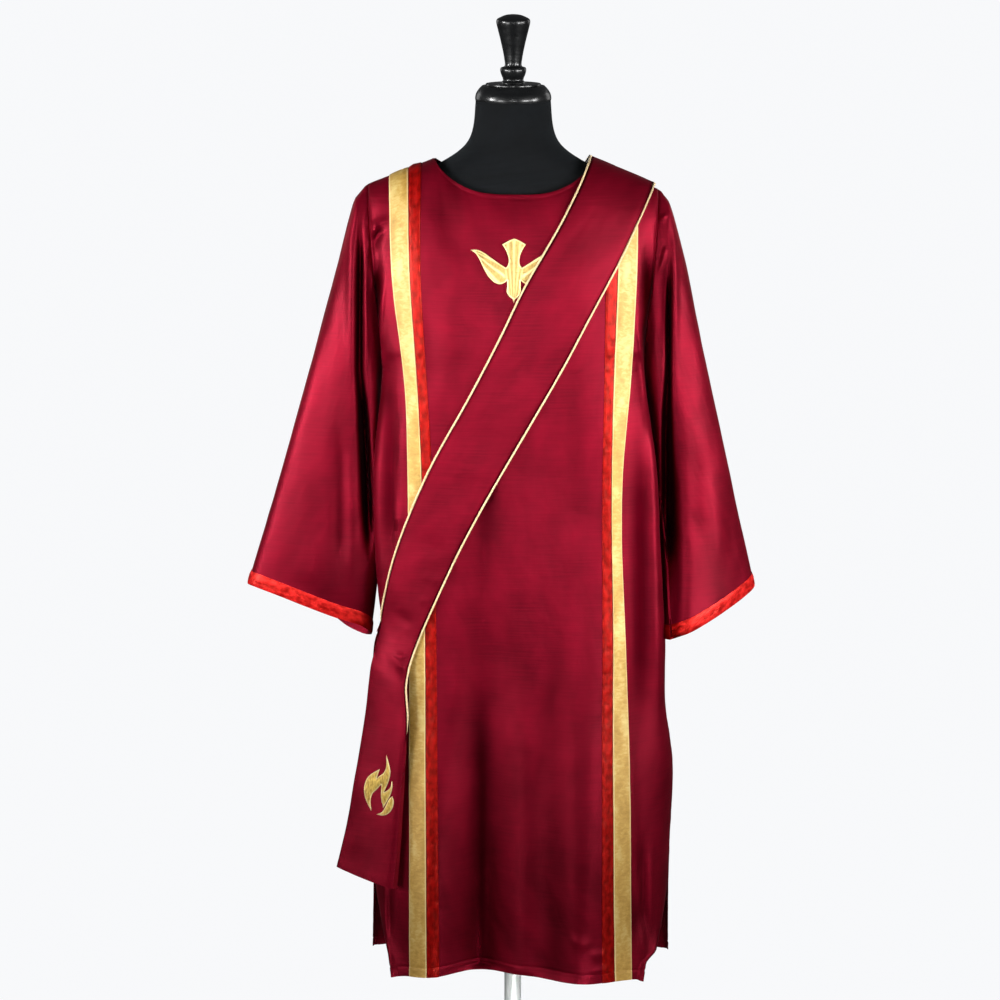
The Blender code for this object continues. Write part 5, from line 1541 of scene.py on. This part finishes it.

# ---- floor, light and camera ----

PALE = (0.946, 0.954, 0.970)
FLOOR_GREY = (0.32, 0.32, 0.32)
FLOOR_GLOW = 1.03
FLOOR_SEEN = 0.96             # how much of the floor's glow the camera sees, and not its grey
ROOM_LIGHT, ROOM_STRENGTH = (0.93, 0.95, 1.0), 0.075

CAMERA_PLACE = (-0.0201, -6.0, 2.10)
CAMERA_TARGET = 0.955         # height at which the camera looks, over the origin
CAMERA_LENS = 141.84

# Each lamp has its place, the place it shines at, its width, height, watts and spread in degrees.
SOFTBOXES = {
    "key": ((-2.0, -2.5, 1.15), (-0.10, 0, 1.05), 1.0, 0.9, 5.0, 56),
    "fill": ((2.0, -2.5, 1.35), (0.12, 0, 1.10), 1.0, 0.9, 7.3, 56),
    "side_left": ((-2.9, -1.2, 1.60), (-0.34, 0, 1.24), 0.9, 0.9, 4.3, 30),
    "side_right": ((2.9, -1.2, 1.40), (0.34, 0, 1.12), 0.9, 0.9, 3.4, 30),
    "low": ((0.5, -1.6, 0.10), (0, 0, 0.08), 0.25, 0.15, 0.32, 14),
    "front": ((-0.1, -3.2, 1.30), (0.0, 0, 1.06), 0.7, 0.7, 0.88, 20),
    "behind_left": ((-2.4, 2.4, 1.9), (0, 0, 1.0), 1.2, 1.6, 3, 120),
    "behind_right": ((2.4, 2.4, 1.9), (0, 0, 1.0), 1.2, 1.6, 3, 120),
}


def coloured(tree, kind, colour, strength=None):
    node = tree.nodes.new(kind)
    node.inputs["Color"].default_value = (*colour, 1)
    if strength is not None:
        node.inputs["Strength"].default_value = strength
    return node.outputs[0]


def show(tree, output_kind, lit, seen, share):
    """The camera sees one shader with a share, and light meets the other."""
    choose, output = tree.nodes.new("ShaderNodeMixShader"), tree.nodes.new(output_kind)
    camera_sees = tree.nodes.new("ShaderNodeMath")
    camera_sees.operation = "MULTIPLY"
    camera_sees.inputs[1].default_value = share
    path = tree.nodes.new("ShaderNodeLightPath")
    tree.links.new(path.outputs["Is Camera Ray"], camera_sees.inputs[0])
    tree.links.new(camera_sees.outputs["Value"], choose.inputs["Fac"])
    tree.links.new(lit, choose.inputs[1])
    tree.links.new(seen, choose.inputs[2])
    tree.links.new(choose.outputs["Shader"], output.inputs["Surface"])


def build_room():
    bpy.ops.mesh.primitive_circle_add(vertices=96, radius=40, fill_type="NGON")
    floor = bpy.context.object
    floor.name = "floor"
    material = bpy.data.materials.new("pale_floor")
    world = bpy.data.worlds.new("pale_room")
    for holder in (material, world):
        holder.use_nodes = True
        holder.node_tree.nodes.clear()
    tree = material.node_tree
    show(tree, "ShaderNodeOutputMaterial", coloured(tree, "ShaderNodeBsdfDiffuse", FLOOR_GREY),
         coloured(tree, "ShaderNodeEmission", PALE, FLOOR_GLOW), FLOOR_SEEN)
    tree = world.node_tree
    show(tree, "ShaderNodeOutputWorld", coloured(tree, "ShaderNodeBackground", ROOM_LIGHT, ROOM_STRENGTH),
         coloured(tree, "ShaderNodeBackground", PALE), 1.0)
    floor.data.materials.append(material)
    bpy.context.scene.world = world


def softbox(name, place, target, width, height, watts, spread):
    light = bpy.data.lights.new(name, "AREA")
    light.shape = "RECTANGLE"
    light.size, light.size_y = width, height
    light.energy = watts
    light.spread = math.radians(spread)
    lamp = bpy.data.objects.new(name, light)
    bpy.context.scene.collection.objects.link(lamp)
    lamp.location = place
    lamp.rotation_euler = (Vector(target) - Vector(place)).to_track_quat("-Z", "Y").to_euler()


def build_camera():
    camera = bpy.data.objects.new("camera", bpy.data.cameras.new("camera"))
    bpy.context.scene.collection.objects.link(camera)
    camera.data.sensor_width = 36
    camera.data.lens = CAMERA_LENS
    camera.data.clip_end = 100
    camera.location = CAMERA_PLACE
    look_down = math.atan((CAMERA_PLACE[2] - CAMERA_TARGET) / -CAMERA_PLACE[1])
    camera.rotation_euler = (math.pi / 2 - look_down, 0, 0)
    bpy.context.scene.camera = camera


build_room()
for lamp_name, lamp_values in SOFTBOXES.items():
    softbox(lamp_name, *lamp_values)
build_camera()
bpy.context.scene.view_settings.view_transform = "Standard"
